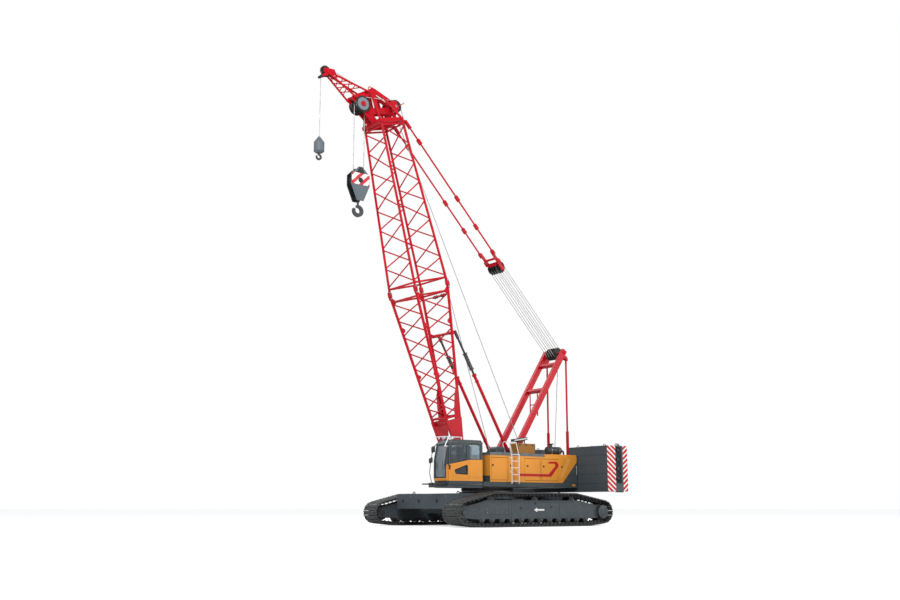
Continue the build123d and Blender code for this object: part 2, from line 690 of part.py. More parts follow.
def cab_door():
    """The sliding door's frame, with its windows cut and the rollers that guide it along the cab's side."""
    low, high = cab_door_place()
    door = block((CAB_DOOR_REAR, CAB_DOOR_FRONT), (low, high), (CAB_DOOR_LOW, CAB_DOOR_HIGH)) - door_window(0)
    rollers = [
        bar((x, CAB_SIDE + GAP, z), (x, low + 1, z), CAB_DOOR_ROLLER)
        for x in (CAB_DOOR_REAR + 40, CAB_DOOR_FRONT - 40) for z in (CAB_DOOR_LOW + 40, CAB_DOOR_HIGH - 40)
    ]
    return door + rollers


def cab_door_glass():
    """The sliding door's two panes."""
    low = cab_door_place()[0] + (CAB_DOOR_THICK - GLASS) / 2
    middle = block((CAB_REAR, CAB_FRONT), (low, low + GLASS), (CAB_LOW, CAB_HIGH))
    return [middle & opening for opening in door_window(GAP)]


def operator_seat():
    """The seat's pedestal and shell, which carry its cushions."""
    x, y = SEAT
    floor = CAB_LOW + CAB_WALL + GAP
    return joined([
        block((x - 180, x + 180), (y - 160, y + 160), (floor, floor + 260)),
        block((x - 240, x + 240), (y - 230, y + 230), (floor + 250, floor + 290)),
        block((x - 290, x - 230), (y - 220, y + 220), (floor + 250, floor + 900)),
    ])


def seat_cushions():
    """The seat and back cushions."""
    x, y = SEAT
    floor = CAB_LOW + CAB_WALL + GAP
    return [
        block((x - 230 + GAP, x + 250), (y - 240, y + 240), (floor + 290 + GAP, floor + 390)),
        block((x - 230 + GAP, x - 130), (y - 230, y + 230), (floor + 400, floor + 950)),
    ]


def control_consoles():
    """The lever boxes on both sides of the seat and the foot pedals ahead of it."""
    x, y = SEAT
    floor = CAB_LOW + CAB_WALL + GAP
    found = [
        joined([
            block((x - 150, x + 420), (y + side * 260, y + side * 350), (floor, floor + 560)),
            *[bar((x + dx, y + side * 305, floor + 540), (x + dx + 40, y + side * 305, floor + 760), 26)
              for dx in (250, 340)],
        ])
        for side in (-1, 1)
    ]
    found += [block((x + 560, x + 700), (y + dy - 50, y + dy + 50), (floor, floor + 40)) for dy in (-90, 90)]
    return found


# Boom ----------------------------------------------------------------------------------------------

def section_at(height):
    """Half the width and half the depth between chord centres at a height up the boom."""
    (low, w0, d0), (high, w1, d1) = SECTIONS[:2] if height <= JOINT_U else SECTIONS[1:]
    share = (height - low) / (high - low)
    return w0 + (w1 - w0) * share, d0 + (d1 - d0) * share


def corner(front, left, height):
    """A chord's centre: front and left are +1 or -1."""
    width, depth = section_at(height)
    return front * depth, left * width, height


def chords(low, high, diameter):
    """The four corner tubes of a boom section, cut level at both ends."""
    room = block((-2000, 2000), (-2000, 2000), (low, high))
    return [
        bar(corner(f, s, low - 50), corner(f, s, high + 50), diameter) & room for f in (-1, 1) for s in (-1, 1)
    ]


def lacing(low, high, panels, chord):
    """The tubes on all four faces of a boom section: one slanting in each panel and one across at each end."""
    count, growth = panels
    heights = [low + (high - low) * (k / count) ** growth for k in range(count + 1)]
    found = []
    for a, b in (((1, 1), (-1, 1)), ((-1, -1), (1, -1)), ((1, -1), (1, 1)), ((-1, 1), (-1, -1))):
        ends = [(heights[0] - 2 * LACING_STEP,) * 2, (heights[-1] + 2 * LACING_STEP,) * 2]
        tubes = [(a, b, *pair, END_LACING) for pair in ends]
        for k in range(count):
            start, end = (a, b) if k % 2 == 0 else (b, a)
            tubes.append((start, end, heights[k] + LACING_STEP, heights[k + 1] - LACING_STEP, LACING))
        for start, end, z0, z1, diameter in tubes:
            clear = [bar(corner(*c, low - 200), corner(*c, high + 200), chord + 2 * GAP) for c in (start, end)]
            found.append(bar(corner(*start, z0), corner(*end, z1), diameter) - clear)
    return found


def boom_legs():
    """The two plates that carry the lower section's chords down to the foot pins, and their ties."""
    half = section_at(LEG_TOP)[1] + CHORD / 2
    top = LEG_TOP - GAP
    side = [(FOOT_EYE / 2, 0), (FOOT_EYE / 2, LEG_NECK), (half, top)]
    shape = make_face(Polyline(*side, *[(-x, z) for x, z in reversed(side)], close=True))
    shape = shape + Circle(FOOT_EYE / 2) - Circle(FOOT_PIN / 2 + 1)
    inner = FOOT_INNER - GAP
    high = LEG_TOP - 120
    ties = [cross_bar(x, z, -inner, inner, 110) for x, z in ((-200, high), (200, high), (0, high / 2))]
    return [slab(shape, low, high) for low, high in both(FOOT_INNER, FOOT_OUTER)] + ties


def stop_beam(margin):
    """The bar across the rear chords with the two brackets of the backstops, larger by the margin."""
    x, z = STOP_BRACKET
    width, depth = section_at(z)
    half = 20 + margin
    brackets = [
        block((x - 60 - margin, -depth), (s * wall_middle() - half, s * wall_middle() + half),
              (z - 70 - margin, z + 70 + margin))
        for s in (-1, 1)
    ]
    return joined([bar((-depth, -width, z), (-depth, width, z), 110 + 2 * margin), *brackets])


def boom_foot_section():
    """The widening lower boom section, with the backstops' beam across its rear face."""
    braces = lacing(LEG_TOP + 160, JOINT_U - COUPLING - 160, FOOT_PANELS, CHORD)
    braces = [brace - stop_beam(GAP) for brace in braces]
    clear = [bar(corner(-1, s, LEG_TOP), corner(-1, s, JOINT_U), CHORD + 2 * GAP) for s in (-1, 1)]
    return [*chords(LEG_TOP, JOINT_U - COUPLING, CHORD), *braces, stop_beam(0) - clear]


def boom_couplings():
    """The pinned joints of the two sections: a tongue below, a fork above and the pin through both."""
    found = []
    low, high = JOINT_U - COUPLING + GAP, JOINT_U + COUPLING - GAP
    for f, s in ((-1, -1), (-1, 1), (1, -1), (1, 1)):
        x, y, _ = corner(f, s, JOINT_U)
        found.append(joined([
            bar((x, y, low), (x, y, low + 60), CHORD + 30), bar((x, y, high - 60), (x, y, high), CHORD + 30),
            block((x - 75, x + 75), (y - 22, y + 22), (low + 50, JOINT_U + 70)),
            *[block((x - 75, x + 75), (y + y0, y + y1), (JOINT_U - 70, high - 50)) for y0, y1 in both(22, 50)],
            cross_bar(x, JOINT_U, y - 80, y + 80, 70),
        ]))
    return found


def boom_top_section():
    """The upper, tapering boom section."""
    chord = CHORD - 15
    low = JOINT_U + COUPLING
    return chords(low, TOP_U - GAP, chord) + lacing(low + 160, TOP_U - 160, TOP_PANELS, chord)


def boom_head():
    """The boom head: an end frame on the four chords, and two open plates that carry the sheaves."""
    width, depth = section_at(TOP_U)
    low, high = TOP_U, TOP_U + 160
    frame = [block((x - 30, x + 90), (-width - 70, width + 70), (low, high)) for x in (-depth, depth)]
    frame += [block((-depth, depth), (y0, y1), (low, high)) for y0, y1 in both(width - 50, width + 50)]
    x, u = HEAD_SHEAVE
    gx, gu = GUIDE_SHEAVE
    outline = [
        (-depth - 30, low), (depth + 90, low), (x - 60, u - 420), (x + 150, u - 150),
        (JIB_ROOT_LOW[0] + 90, JIB_ROOT_LOW[1] - 60), (JIB_ROOT_LOW[0] + 60, JIB_ROOT_LOW[1] + 80),
        (JIB_ROOT_HIGH[0] + 60, JIB_ROOT_HIGH[1] + 90), (APEX[0] + 90, APEX[1]), (APEX[0] - 90, APEX[1]),
        (gx - 130, gu + 110), (gx - 130, gu - 120), (-depth - 30, low + 300),
    ]
    holes = [make_face(Polyline(*window, close=True)) for window in HEAD_WINDOWS]
    holes += [Pos(JIB_ROOT_LOW) * Circle(JIB_TUBE / 2 + GAP), Pos(JIB_ROOT_HIGH) * Circle(JIB_TUBE / 2 + GAP)]
    shape = make_face(Polyline(*outline, close=True)) - holes
    plates = [slab(shape, y0, y1) for y0, y1 in both(HEAD_HALF - HEAD_PLATE, HEAD_HALF)]
    lug = [(-depth - 70, low), (-depth + 60, low), (-depth + 60, low + 150), (LUG[0] + 20, LUG[1] + 60),
           (LUG[0] - 50, LUG[1] + 20), (LUG[0] - 50, LUG[1] - 20)]
    lugs = [slab(lug, s * LUG_Y - 20, s * LUG_Y + 20) for s in (-1, 1)]
    reach = HEAD_SHEAVES_Y[-1] + SHEAVE_THICK / 2 + GAP
    shafts = [cross_bar(*at, -reach - 1, reach + 1, SHEAVE_SHAFT) for at in (HEAD_SHEAVE, GUIDE_SHEAVE)]
    shafts += [
        cross_bar(*at, y0, y1, 150) for at in (HEAD_SHEAVE, GUIDE_SHEAVE) for y0, y1 in both(reach, reach + 15)
    ]
    shafts += [cross_bar(*at, 5 - HEAD_HALF, HEAD_HALF - 5, 110) for at in (APEX, (150, u - 300))]
    braces = [
        bar((x0, s * width, high - 40), (x1, s * (HEAD_HALF - 10), u1), 100)
        for s in (-1, 1) for x0, x1, u1 in ((-depth, -80, 15790), (depth + 30, 430, 15930))
    ]
    return joined([*frame, *plates, *shafts, *lugs, *braces])


def head_sheaves():
    """The rope wheels of the boom head: four at the front and two guides at the rear."""
    found = [sheave(*HEAD_SHEAVE, y) for y in HEAD_SHEAVES_Y]
    return found + [sheave(*GUIDE_SHEAVE, y, GUIDE_RADIUS) for y in GUIDE_SHEAVES_Y]


def auxiliary_jib():
    """The short laced jib that carries the second rope beyond the boom head, pinned through the head plates."""
    rails = {}
    for side in (-1, 1):
        tip = Vector(JIB_TIP[0], side * JIB_TIP_HALF, JIB_TIP[1])
        rails["low", side] = (Vector(JIB_ROOT_LOW[0], side * JIB_HALF, JIB_ROOT_LOW[1]), tip)
        rails["high", side] = (Vector(JIB_ROOT_HIGH[0], side * JIB_HALF, JIB_ROOT_HIGH[1]), tip)
    x, u = JIB_TIP
    cheek = [(x - 420, u - 170), (x + 60, u - 170), (x + 150, u), (x + 60, u + 130), (x - 380, u + 40)]
    frame = joined([
        *[bar(*rail, JIB_TUBE) for rail in rails.values()],
        *[slab(cheek, y0, y1) for y0, y1 in both(JIB_TIP_HALF - 25, JIB_TIP_HALF)],
        *[cross_bar(*root, -JIB_HALF - 25, JIB_HALF + 25, JIB_TUBE) for root in (JIB_ROOT_LOW, JIB_ROOT_HIGH)],
        cross_bar(*JIB_TIP, -JIB_TIP_HALF - 20, JIB_TIP_HALF + 20, SHEAVE_SHAFT),
    ])
    low, high = JIB_LACED
    pitch = (high - low) / JIB_PANELS
    corners = [("low", 1), ("high", 1), ("high", -1), ("low", -1)]
    tubes = []
    for a, b in zip(corners, corners[1:] + corners[:1]):
        for k in range(JIB_PANELS):
            first, second = (a, b) if k % 2 == 0 else (b, a)
            (root_a, tip_a), (root_b, tip_b) = rails[first], rails[second]
            start = root_a + (tip_a - root_a) * (low + pitch * (k + 0.12))
            end = root_b + (tip_b - root_b) * (low + pitch * (k + 0.88))
            clear = [bar(*rails[rail], JIB_TUBE + 2 * GAP) for rail in (first, second)]
            tubes.append(bar(start, end, JIB_LACING) - clear)
    return [frame, *tubes]


# Frames in which the moving groups are drawn
BOOM_PLACE = Pos(FOOT_X, 0, FOOT_Z) * Rot(0, 90 - BOOM_ANGLE, 0)


def on_boom(x, height):
    """Where a point of the boom's own frame lies, in x and z."""
    lean = radians(90 - BOOM_ANGLE)
    return FOOT_X + x * cos(lean) + height * sin(lean), FOOT_Z - x * sin(lean) + height * cos(lean)


def in_boom(x, z):
    """A point in x and z, as the boom's own frame has it."""
    lean = radians(90 - BOOM_ANGLE)
    dx, dz = x - FOOT_X, z - FOOT_Z
    return dx * cos(lean) - dz * sin(lean), dx * sin(lean) + dz * cos(lean)


STOP_BRACKET = in_boom(*STOP_HEAD)
LUG_AT = on_boom(*LUG)
LINE_LENGTH = hypot(LUG_AT[0] - GANTRY_HEAD[0], LUG_AT[1] - GANTRY_HEAD[1])
LINE_ANGLE = degrees(atan2(LUG_AT[1] - GANTRY_HEAD[1], LUG_AT[0] - GANTRY_HEAD[0]))
LINE_PLACE = Pos(GANTRY_HEAD[0], 0, GANTRY_HEAD[1]) * Rot(0, -LINE_ANGLE, 0)
STOP_LENGTH = hypot(STOP_HEAD[0] - STOP_FOOT[0], STOP_HEAD[1] - STOP_FOOT[1])
STOP_ANGLE = degrees(atan2(STOP_HEAD[1] - STOP_FOOT[1], STOP_HEAD[0] - STOP_FOOT[0]))
STOP_PLACE = Pos(STOP_FOOT[0], 0, STOP_FOOT[1]) * Rot(0, -STOP_ANGLE, 0)
HEAD_AT = on_boom(*HEAD_SHEAVE)
JIB_AT = on_boom(*JIB_TIP)


# Gantry, backstops and boom hoist line -------------------------------------------------------------

def fork(x, y, reach, height, gap, thick):
    """Two plates that straddle a wall or lug at x = 0, as wide as the height, open towards -X."""
    return [
        slab([(x, -height / 2), (reach, -height / 2), (reach, height / 2), (x, height / 2)], y + low, y + high)
        for low, high in both(gap, gap + thick)
    ]


def rear_leg_pin(length):
    """The rear leg's upper pin, in the frame of a front leg of this length: along it, and behind it."""
    x, z = REAR_LEG_X - GANTRY_FOOT[0], REAR_LEG_TOP - GANTRY_FOOT[1]
    run, rise = (GANTRY_HEAD[0] - GANTRY_FOOT[0]) / length, (GANTRY_HEAD[1] - GANTRY_FOOT[1]) / length
    return x * run + z * rise, z * run - x * rise


def gantry_front_legs():
    """The two long legs with their cross beams and the shaft of the rope wheels on top."""
    length = hypot(GANTRY_HEAD[0] - GANTRY_FOOT[0], GANTRY_HEAD[1] - GANTRY_FOOT[1])
    tilt = degrees(atan2(GANTRY_HEAD[1] - GANTRY_FOOT[1], GANTRY_HEAD[0] - GANTRY_FOOT[0]))
    place = Pos(GANTRY_FOOT[0], 0, GANTRY_FOOT[1]) * Rot(0, -tilt, 0)
    deep, wide = LEG_BOX
    half_wall = WALL / 2 + FORK_GAP
    pin = rear_leg_pin(length)
    lug = [(pin[0] - 180, 0), (pin[0] - 80, pin[1] + 80), (pin[0] + 80, pin[1] + 80), (pin[0] + 180, 0)]
    pieces = []
    for side in (-1, 1):
        y = side * wall_middle()
        pieces += fork(-100, y, 300, deep - 20, half_wall, 40)
        pieces.append(block((290, length + 130), (y - wide / 2, y + wide / 2), (-deep / 2, deep / 2)))
        pieces.append(cross_bar(0, 0, y - half_wall - 45, y + half_wall + 45, GANTRY_PIN))
        pieces.append(slab(lug, y - WALL / 2, y + WALL / 2))
        pieces.append(cross_bar(*pin, *sorted((y, side * (WALL_OUT + 50))), REAR_LEG_PIN))
    inner = wall_middle() - wide / 2 + 5
    for along in (length * 0.62, length * 0.88):
        pieces.append(block((along - 60, along + 60), (-inner, inner), (-90, 90)))
    pieces.append(cross_bar(length, 0, -inner, inner, SHEAVE_SHAFT))
    return joined(pieces).moved(place)


def gantry_rear_legs():
    """The two upright tension members behind the gantry, pinned outside the walls and the front legs."""
    found = []
    foot, top = REAR_LEG_FOOT, REAR_LEG_TOP
    for low, high in both(WALL_OUT + GAP, WALL_OUT + WALL):
        y = (low + high) / 2
        leg = joined([
            *[cross_bar(REAR_LEG_X, z, low, high, 200) for z in (foot, top)],
            block((REAR_LEG_X - 60, REAR_LEG_X + 60), (low, high), (foot, foot + 300)),
            bar((REAR_LEG_X, y, foot + 250), (REAR_LEG_X, y, foot + 1320), REAR_LEG_BASE),
            bar((REAR_LEG_X, y, foot + 1300), (REAR_LEG_X, y, top - 160), REAR_LEG),
            block((REAR_LEG_X - 40, REAR_LEG_X + 40), (low, high), (top - 260, top)),
        ])
        bores = [cross_bar(REAR_LEG_X, z, low - 1, high + 1, REAR_LEG_PIN + 2 * GAP) for z in (foot, top)]
        found.append(leg - bores)
    return found


def gantry_sheaves():
    """The rope wheels on the gantry head."""
    return [sheave(GANTRY_HEAD[0], GANTRY_HEAD[1], y, LINE_SHEAVE) for y in GANTRY_ROPES_Y]


def backstop_tubes():
    """The lower, hollow parts of the two backstops, each with a collar that guides the rod."""
    found = []
    end = STOP_TUBE_LENGTH
    for side in (-1, 1):
        y = side * wall_middle()
        eyes = [
            e - cross_bar(0, 0, y - 100, y + 100, STOP_PIN + 1)
            for e in fork(-70, y, 200, STOP_TUBE - 10, WALL / 2 + RUN, 25)
        ]
        collar = end - STOP_COLLAR
        tube = joined([
            *eyes, bar((170, y, 0), (end, y, 0), STOP_TUBE), bar((collar, y, 0), (end, y, 0), STOP_TUBE + 60),
        ])
        bore = [
            bar((400, y, 0), (collar, y, 0), STOP_ROD + 10),
            bar((410, y, 0), (end + 1, y, 0), STOP_ROD + 2 * GAP),
        ]
        found.append((tube - bore).moved(STOP_PLACE))
    return found


def backstop_rods():
    """The upper, sliding parts of the backstops, with a spring between two collars and a forked end."""
    found = []
    spring = STOP_TUBE_LENGTH + STOP_TRAVEL
    for side in (-1, 1):
        y = side * wall_middle()
        found.append(joined([
            bar((1500, y, 0), (STOP_LENGTH - 210, y, 0), STOP_ROD),
            bar((spring, y, 0), (spring + 700, y, 0), 150),
            *[bar((x, y, 0), (x + 40, y, 0), 200) for x in (spring, spring + 700)],
            block((STOP_LENGTH - 290, STOP_LENGTH - 200), (y - 50, y + 50), (-45, 45)),
            *fork(STOP_LENGTH - 201, y, STOP_LENGTH + 60, 90, 30, 20),
        ]).moved(STOP_PLACE))
    return found


def bridle():
    """The floating frame between the boom hoist ropes and the pendants, with its rope wheels."""
    sides = [
        slab([(BRIDLE_SHEAVES - 150, -90), (BRIDLE_PIN + 80, -60), (BRIDLE_PIN + 80, 60),
              (BRIDLE_SHEAVES - 150, 90)], low, high)
        for low, high in both(LUG_Y - 80, LUG_Y - 40)
    ]
    pins = [cross_bar(BRIDLE_PIN, 0, low, high, 70) for low, high in both(LUG_Y - 41, LUG_Y + 45)]
    inner = LUG_Y - 80 - GAP
    bars = [cross_bar(BRIDLE_SHEAVES + x, 0, -inner, inner, d) for x, d in ((450, 100), (0, SHEAVE_SHAFT))]
    frame = [joined(pair) for pair in zip(sides, pins)]
    wheels = [sheave(BRIDLE_SHEAVES, 0, y, LINE_SHEAVE) for y in BRIDLE_ROPES_Y]
    return [shape.moved(LINE_PLACE) for shape in (*frame, *bars, *wheels)]


def pendants():
    """The two fixed-length stays from the bridle to the boom head."""
    found = []
    for side in (-1, 1):
        y = side * LUG_Y
        stay = [bar((BRIDLE_PIN + 60, y, 0), (LINE_LENGTH - FORK_THROAT - 10, y, 0), PENDANT)]
        stay += [block((x - 130, x + 130), (y - 45, y + 45), (-70, 70)) for x in PENDANT_JOINTS]
        throat = LINE_LENGTH - FORK_THROAT
        stay.append(block((throat - 100, throat), (y - 50, y + 50), (-60, 60)))
        stay += fork(throat - 1, y, LINE_LENGTH + 30, 110, 30, 20)
        eye = block((BRIDLE_PIN - 70, BRIDLE_PIN + 90), (y - 35, y + 35), (-60, 60))
        stay.append(eye)
        whole = joined(stay) - cross_bar(BRIDLE_PIN, 0, y - 60, y + 60, 70 + 2 * GAP)
        found.append(whole.moved(LINE_PLACE))
    return found


def luffing_ropes():
    """The parallel ropes between the gantry head and the bridle."""
    return [
        bar((0, y0, z), (BRIDLE_SHEAVES, y1, z), ROPE).moved(LINE_PLACE)
        for y0, y1 in zip(GANTRY_ROPES_Y, BRIDLE_ROPES_Y) for z in (-LINE_SHEAVE, LINE_SHEAVE)
    ]


# Hooks ---------------------------------------------------------------------------------------------

def hook(x, z, radius, thick, shank):
    """A load hook: a bowl open on one side under a round shank with its nut on top."""
    share, dx, dz = HOOK_HOLLOW
    bowl = Circle(radius) - Pos(dx * radius, dz * radius) * Circle(share * radius)
    mouth = [(0.2, 0.15), (1.2, 0.5), (1.2, 1.2), (0.36, 1.2)]
    mouth = make_face(Polyline(*[(a * radius, b * radius) for a, b in mouth], close=True))
    body = slab(bowl - mouth, -thick / 2, thick / 2)
    stem = bar((0, 0, radius * 0.6), (0, 0, radius + shank), thick * 0.8)
    return Pos(x, 0, z) * joined([body, stem])


def main_falls():
    """The ropes between the head sheaves and the hook block."""
    x, z = HEAD_AT
    return [
        bar((x + dx, y, z - BLOCK_AXLE), (x + dx, y, z), ROPE) for y in FALLS_Y for dx in (-SHEAVE, SHEAVE)
    ]


def main_hook_block():
    """Two cheeks with the rope wheels between them and the trunnion that holds the hook."""
    low, foot, top = BLOCK_INNER, BLOCK_FOOT, BLOCK_TOP
    outline = [(-90, top), (90, top), (420, 230), (420, -200), (150, -foot), (-150, -foot), (-420, -200), (-420, 230)]
    cheeks = [slab(outline, y0, y1) for y0, y1 in both(low, low + BLOCK_CHEEK)]
    stem = HOOK_THICK * 0.8
    trunnion = block((-110, 110), (-low - 5, low + 5), (60 - foot, 220 - foot))
    frame = joined([
        *cheeks, trunnion, cross_bar(0, 0, -low - 5, low + 5, SHEAVE_SHAFT),
        cross_bar(0, top - 70, -low - 5, low + 5, 80),
    ]) - bar((0, 0, -foot), (0, 0, 300 - foot), stem + 1)
    place = Pos(HEAD_AT[0], 0, HEAD_AT[1] - BLOCK_AXLE)
    return [place * frame] + [place * sheave(0, 0, y) for y in FALLS_Y]


def main_hook():
    """The main hook with the nut that hangs it on the trunnion."""
    x, z = HEAD_AT
    bowl = z - BLOCK_AXLE - HOOK_DROP
    seat = z - BLOCK_AXLE + 220 - BLOCK_FOOT + GAP
    shank = seat + 90 - bowl - HOOK_RADIUS
    nut = Solid.make_cylinder(85, 80, Plane(origin=(x, 0, seat)))
    return hook(x, bowl, HOOK_RADIUS, HOOK_THICK, shank) + nut


def auxiliary_fall():
    """The single rope from the jib sheave to the weight."""
    x, z = JIB_AT
    return bar((x + AUX_SHEAVE, 0, z - AUX_DROP + AUX_HALF + AUX_NOSE + GAP), (x + AUX_SHEAVE, 0, z), ROPE)


def auxiliary_weight():
    """The round weight that keeps the single rope taut."""
    bore = AUX_HOOK_THICK * 0.4 + 1
    nose = AUX_HALF + AUX_NOSE
    profile = Polyline(
        (0, nose), (45, nose), (AUX_RADIUS, AUX_HALF - 60), (AUX_RADIUS, 60 - AUX_HALF),
        (AUX_RADIUS - 60, -AUX_HALF), (bore, -AUX_HALF), (bore, 90 - AUX_HALF), (60, 90 - AUX_HALF),
        (60, 200 - AUX_HALF), (0, 200 - AUX_HALF), close=True,
    )
    body = revolve(Plane.XZ * make_face(profile), Axis.Z)
    return Pos(JIB_AT[0] + AUX_SHEAVE, 0, JIB_AT[1] - AUX_DROP) * body


def auxiliary_hook():
    """The small hook under the weight, with its nut inside the weight."""
    x, z = JIB_AT[0] + AUX_SHEAVE, JIB_AT[1] - AUX_DROP
    seat = z + 90 - AUX_HALF + GAP
    shank = AUX_HOOK_DROP - AUX_HALF - AUX_HOOK_RADIUS + 160
    nut = Solid.make_cylinder(50, 60, Plane(origin=(x, 0, seat)))
    return hook(x, z - AUX_HOOK_DROP, AUX_HOOK_RADIUS, AUX_HOOK_THICK, shank) + nut


def build():
    """Every node's solids by name."""
    nodes = {
        "carbody": [carbody()],
        "carbody_weights": carbody_weights(),
        "slewing_ring": [slewing_ring()],
        "left_track_frame": [track_frame(1)],
        "right_track_frame": [track_frame(-1)],
        "left_track": [track(1)],
        "right_track": [track(-1)],
        "track_rollers": rollers(),
        "track_idlers": idlers(),
        "drive_sprockets": drive_sprockets(),
        "deck_frame": [deck_frame()],
        "left_housing": [housing(1)],
        "right_housing": [housing(-1)],
        "engine_block": [engine_block()],
        "roof_walkways": roof_walkways(),
        "fuel_tank": [fuel_tank()],
        "tool_box": [tool_box()],
        "exhaust_muffler": [exhaust_muffler()],
        "access_ladder": [access_ladder()],
        "counterweight_base": [counterweight_base()],
        "counterweight_slabs": counterweight_slabs(),
        "cab_shell": [cab_shell()],
        "cab_glass": cab_glass(),
        "cab_door": [cab_door()],
        "cab_door_glass": cab_door_glass(),
        "operator_seat": [operator_seat()],
        "seat_cushions": seat_cushions(),
        "control_consoles": control_consoles(),
        "gantry_front_legs": [gantry_front_legs()],
        "gantry_rear_legs": gantry_rear_legs(),
        "gantry_sheaves": gantry_sheaves(),
        "backstop_tubes": backstop_tubes(),
        "backstop_rods": backstop_rods(),
        "bridle": bridle(),
        "pendants": pendants(),
        "luffing_ropes": luffing_ropes(),
        "main_falls": main_falls(),
        "main_hook_block": main_hook_block(),
        "main_hook": [main_hook()],
        "auxiliary_fall": [auxiliary_fall()],
        "auxiliary_weight": [auxiliary_weight()],
        "auxiliary_hook": [auxiliary_hook()],
    }
    for name, x, z in DRUMS:
        nodes[name] = [drum(x, z)]
    for name, shapes in (
        ("boom_legs", boom_legs()), ("boom_foot_section", boom_foot_section()),
        ("boom_couplings", boom_couplings()), ("boom_top_section", boom_top_section()),
        ("boom_head", [boom_head()]), ("head_sheaves", head_sheaves()), ("auxiliary_jib", auxiliary_jib()),
        ("auxiliary_sheave", [sheave(*JIB_TIP, 0, AUX_SHEAVE)]),
    ):
        nodes[name] = [shape.moved(BOOM_PLACE) for shape in shapes]
    for side, word in ((1, "left"), (-1, "right")):
        for name, front, rear in DOORS:
            nodes[f"{word}_{name}_door"] = [housing_door(side, front, rear)]
    return nodes


def save(nodes):
    """Write each node's solids to parts/."""
    os.makedirs("parts", exist_ok=True)
    for name, shapes in nodes.items():
        solids = [solid for shape in shapes for solid in shape.solids()]
        export_step(Compound(solids).moved(Pos(SLEW_X, 0, 0)), f"parts/{name}.step")


if __name__ == "__main__":
    save(build())
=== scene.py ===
import json
import math

import bmesh
import bpy
from mathutils import Matrix, Vector


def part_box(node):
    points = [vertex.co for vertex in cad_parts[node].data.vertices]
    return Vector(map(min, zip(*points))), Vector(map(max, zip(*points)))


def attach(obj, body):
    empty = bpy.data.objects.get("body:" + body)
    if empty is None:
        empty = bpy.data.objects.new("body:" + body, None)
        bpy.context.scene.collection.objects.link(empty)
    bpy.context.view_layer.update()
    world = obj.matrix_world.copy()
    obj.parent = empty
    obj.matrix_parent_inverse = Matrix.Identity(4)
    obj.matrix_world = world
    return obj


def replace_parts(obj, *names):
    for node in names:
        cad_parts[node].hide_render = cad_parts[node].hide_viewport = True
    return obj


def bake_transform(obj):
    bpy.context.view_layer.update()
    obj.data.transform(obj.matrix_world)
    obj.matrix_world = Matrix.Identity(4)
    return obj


# The looks of a crawler crane with a lattice boom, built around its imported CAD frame, in metres.
# +X points to the front of the machine, +Y to its left and +Z up.

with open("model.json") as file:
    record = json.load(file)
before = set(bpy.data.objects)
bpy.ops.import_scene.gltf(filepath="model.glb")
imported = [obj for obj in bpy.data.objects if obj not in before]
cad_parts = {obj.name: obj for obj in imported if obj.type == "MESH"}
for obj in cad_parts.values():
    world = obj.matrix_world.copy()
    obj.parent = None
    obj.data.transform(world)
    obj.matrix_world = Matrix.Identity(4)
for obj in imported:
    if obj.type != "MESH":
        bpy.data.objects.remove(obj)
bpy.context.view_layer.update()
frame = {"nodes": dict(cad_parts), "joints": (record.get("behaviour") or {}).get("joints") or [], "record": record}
JOINTS = {joint["name"]: joint for joint in frame["joints"]}
SLEW = Vector((JOINTS["slew"]["pos_m"][0], 0, 0))
BOOM_FOOT = Vector(JOINTS["boom_luff"]["pos_m"])
BOOM_ANGLE = math.radians(75)
UP_BOOM = Vector((math.cos(BOOM_ANGLE), 0, math.sin(BOOM_ANGLE)))
OFF_BOOM = Vector((math.sin(BOOM_ANGLE), 0, -math.cos(BOOM_ANGLE)))
GANTRY_HEAD = Vector(JOINTS["luffing_line_swing"]["pos_m"])
LINE = Vector(JOINTS["luffing_line_reach"]["axis"])


def at(x, y, z):
    """A point given from the slewing axis, in the shared frame."""
    return SLEW + Vector((x, y, z))


def on_boom(off, y, up):
    """A point given in the boom's own frame: off its middle towards the front, and up from its foot pin."""
    return BOOM_FOOT + off * OFF_BOOM + up * UP_BOOM + Vector((0, y, 0))


def on_line(along, y=0.0, above=0.0):
    """A point along the boom hoist line, measured from the gantry head."""
    return GANTRY_HEAD + along * LINE + Vector((0, y, 0)) + above * Vector((-LINE.z, 0, LINE.x))


def side_face(y, outline):
    """An outline in x and z from the slewing axis, on a plane of constant y."""
    return [at(x, y, z) for x, z in outline]


def boom_face(y, outline):
    """An outline given off and up the boom, on a plane of constant y."""
    return [on_boom(off, y, up) for off, up in outline]


def rectangle(x_low, z_low, x_high, z_high):
    return (x_low, z_low), (x_high, z_low), (x_high, z_high), (x_low, z_high)


def oblong(wide, tall):
    """A rectangle round nought, from half its width and half its height."""
    return rectangle(-wide, -tall, wide, tall)


def outward(side):
    """The way out from the machine's middle, on its left (1) or its right (-1)."""
    return Vector((0, side, 0))


def share(colour, part, other, rest):
    """Two colours added together, each times its own factor."""
    return tuple(part * c + rest * o for c, o in zip(colour, other))


# Materials -----------------------------------------------------------------------------------------

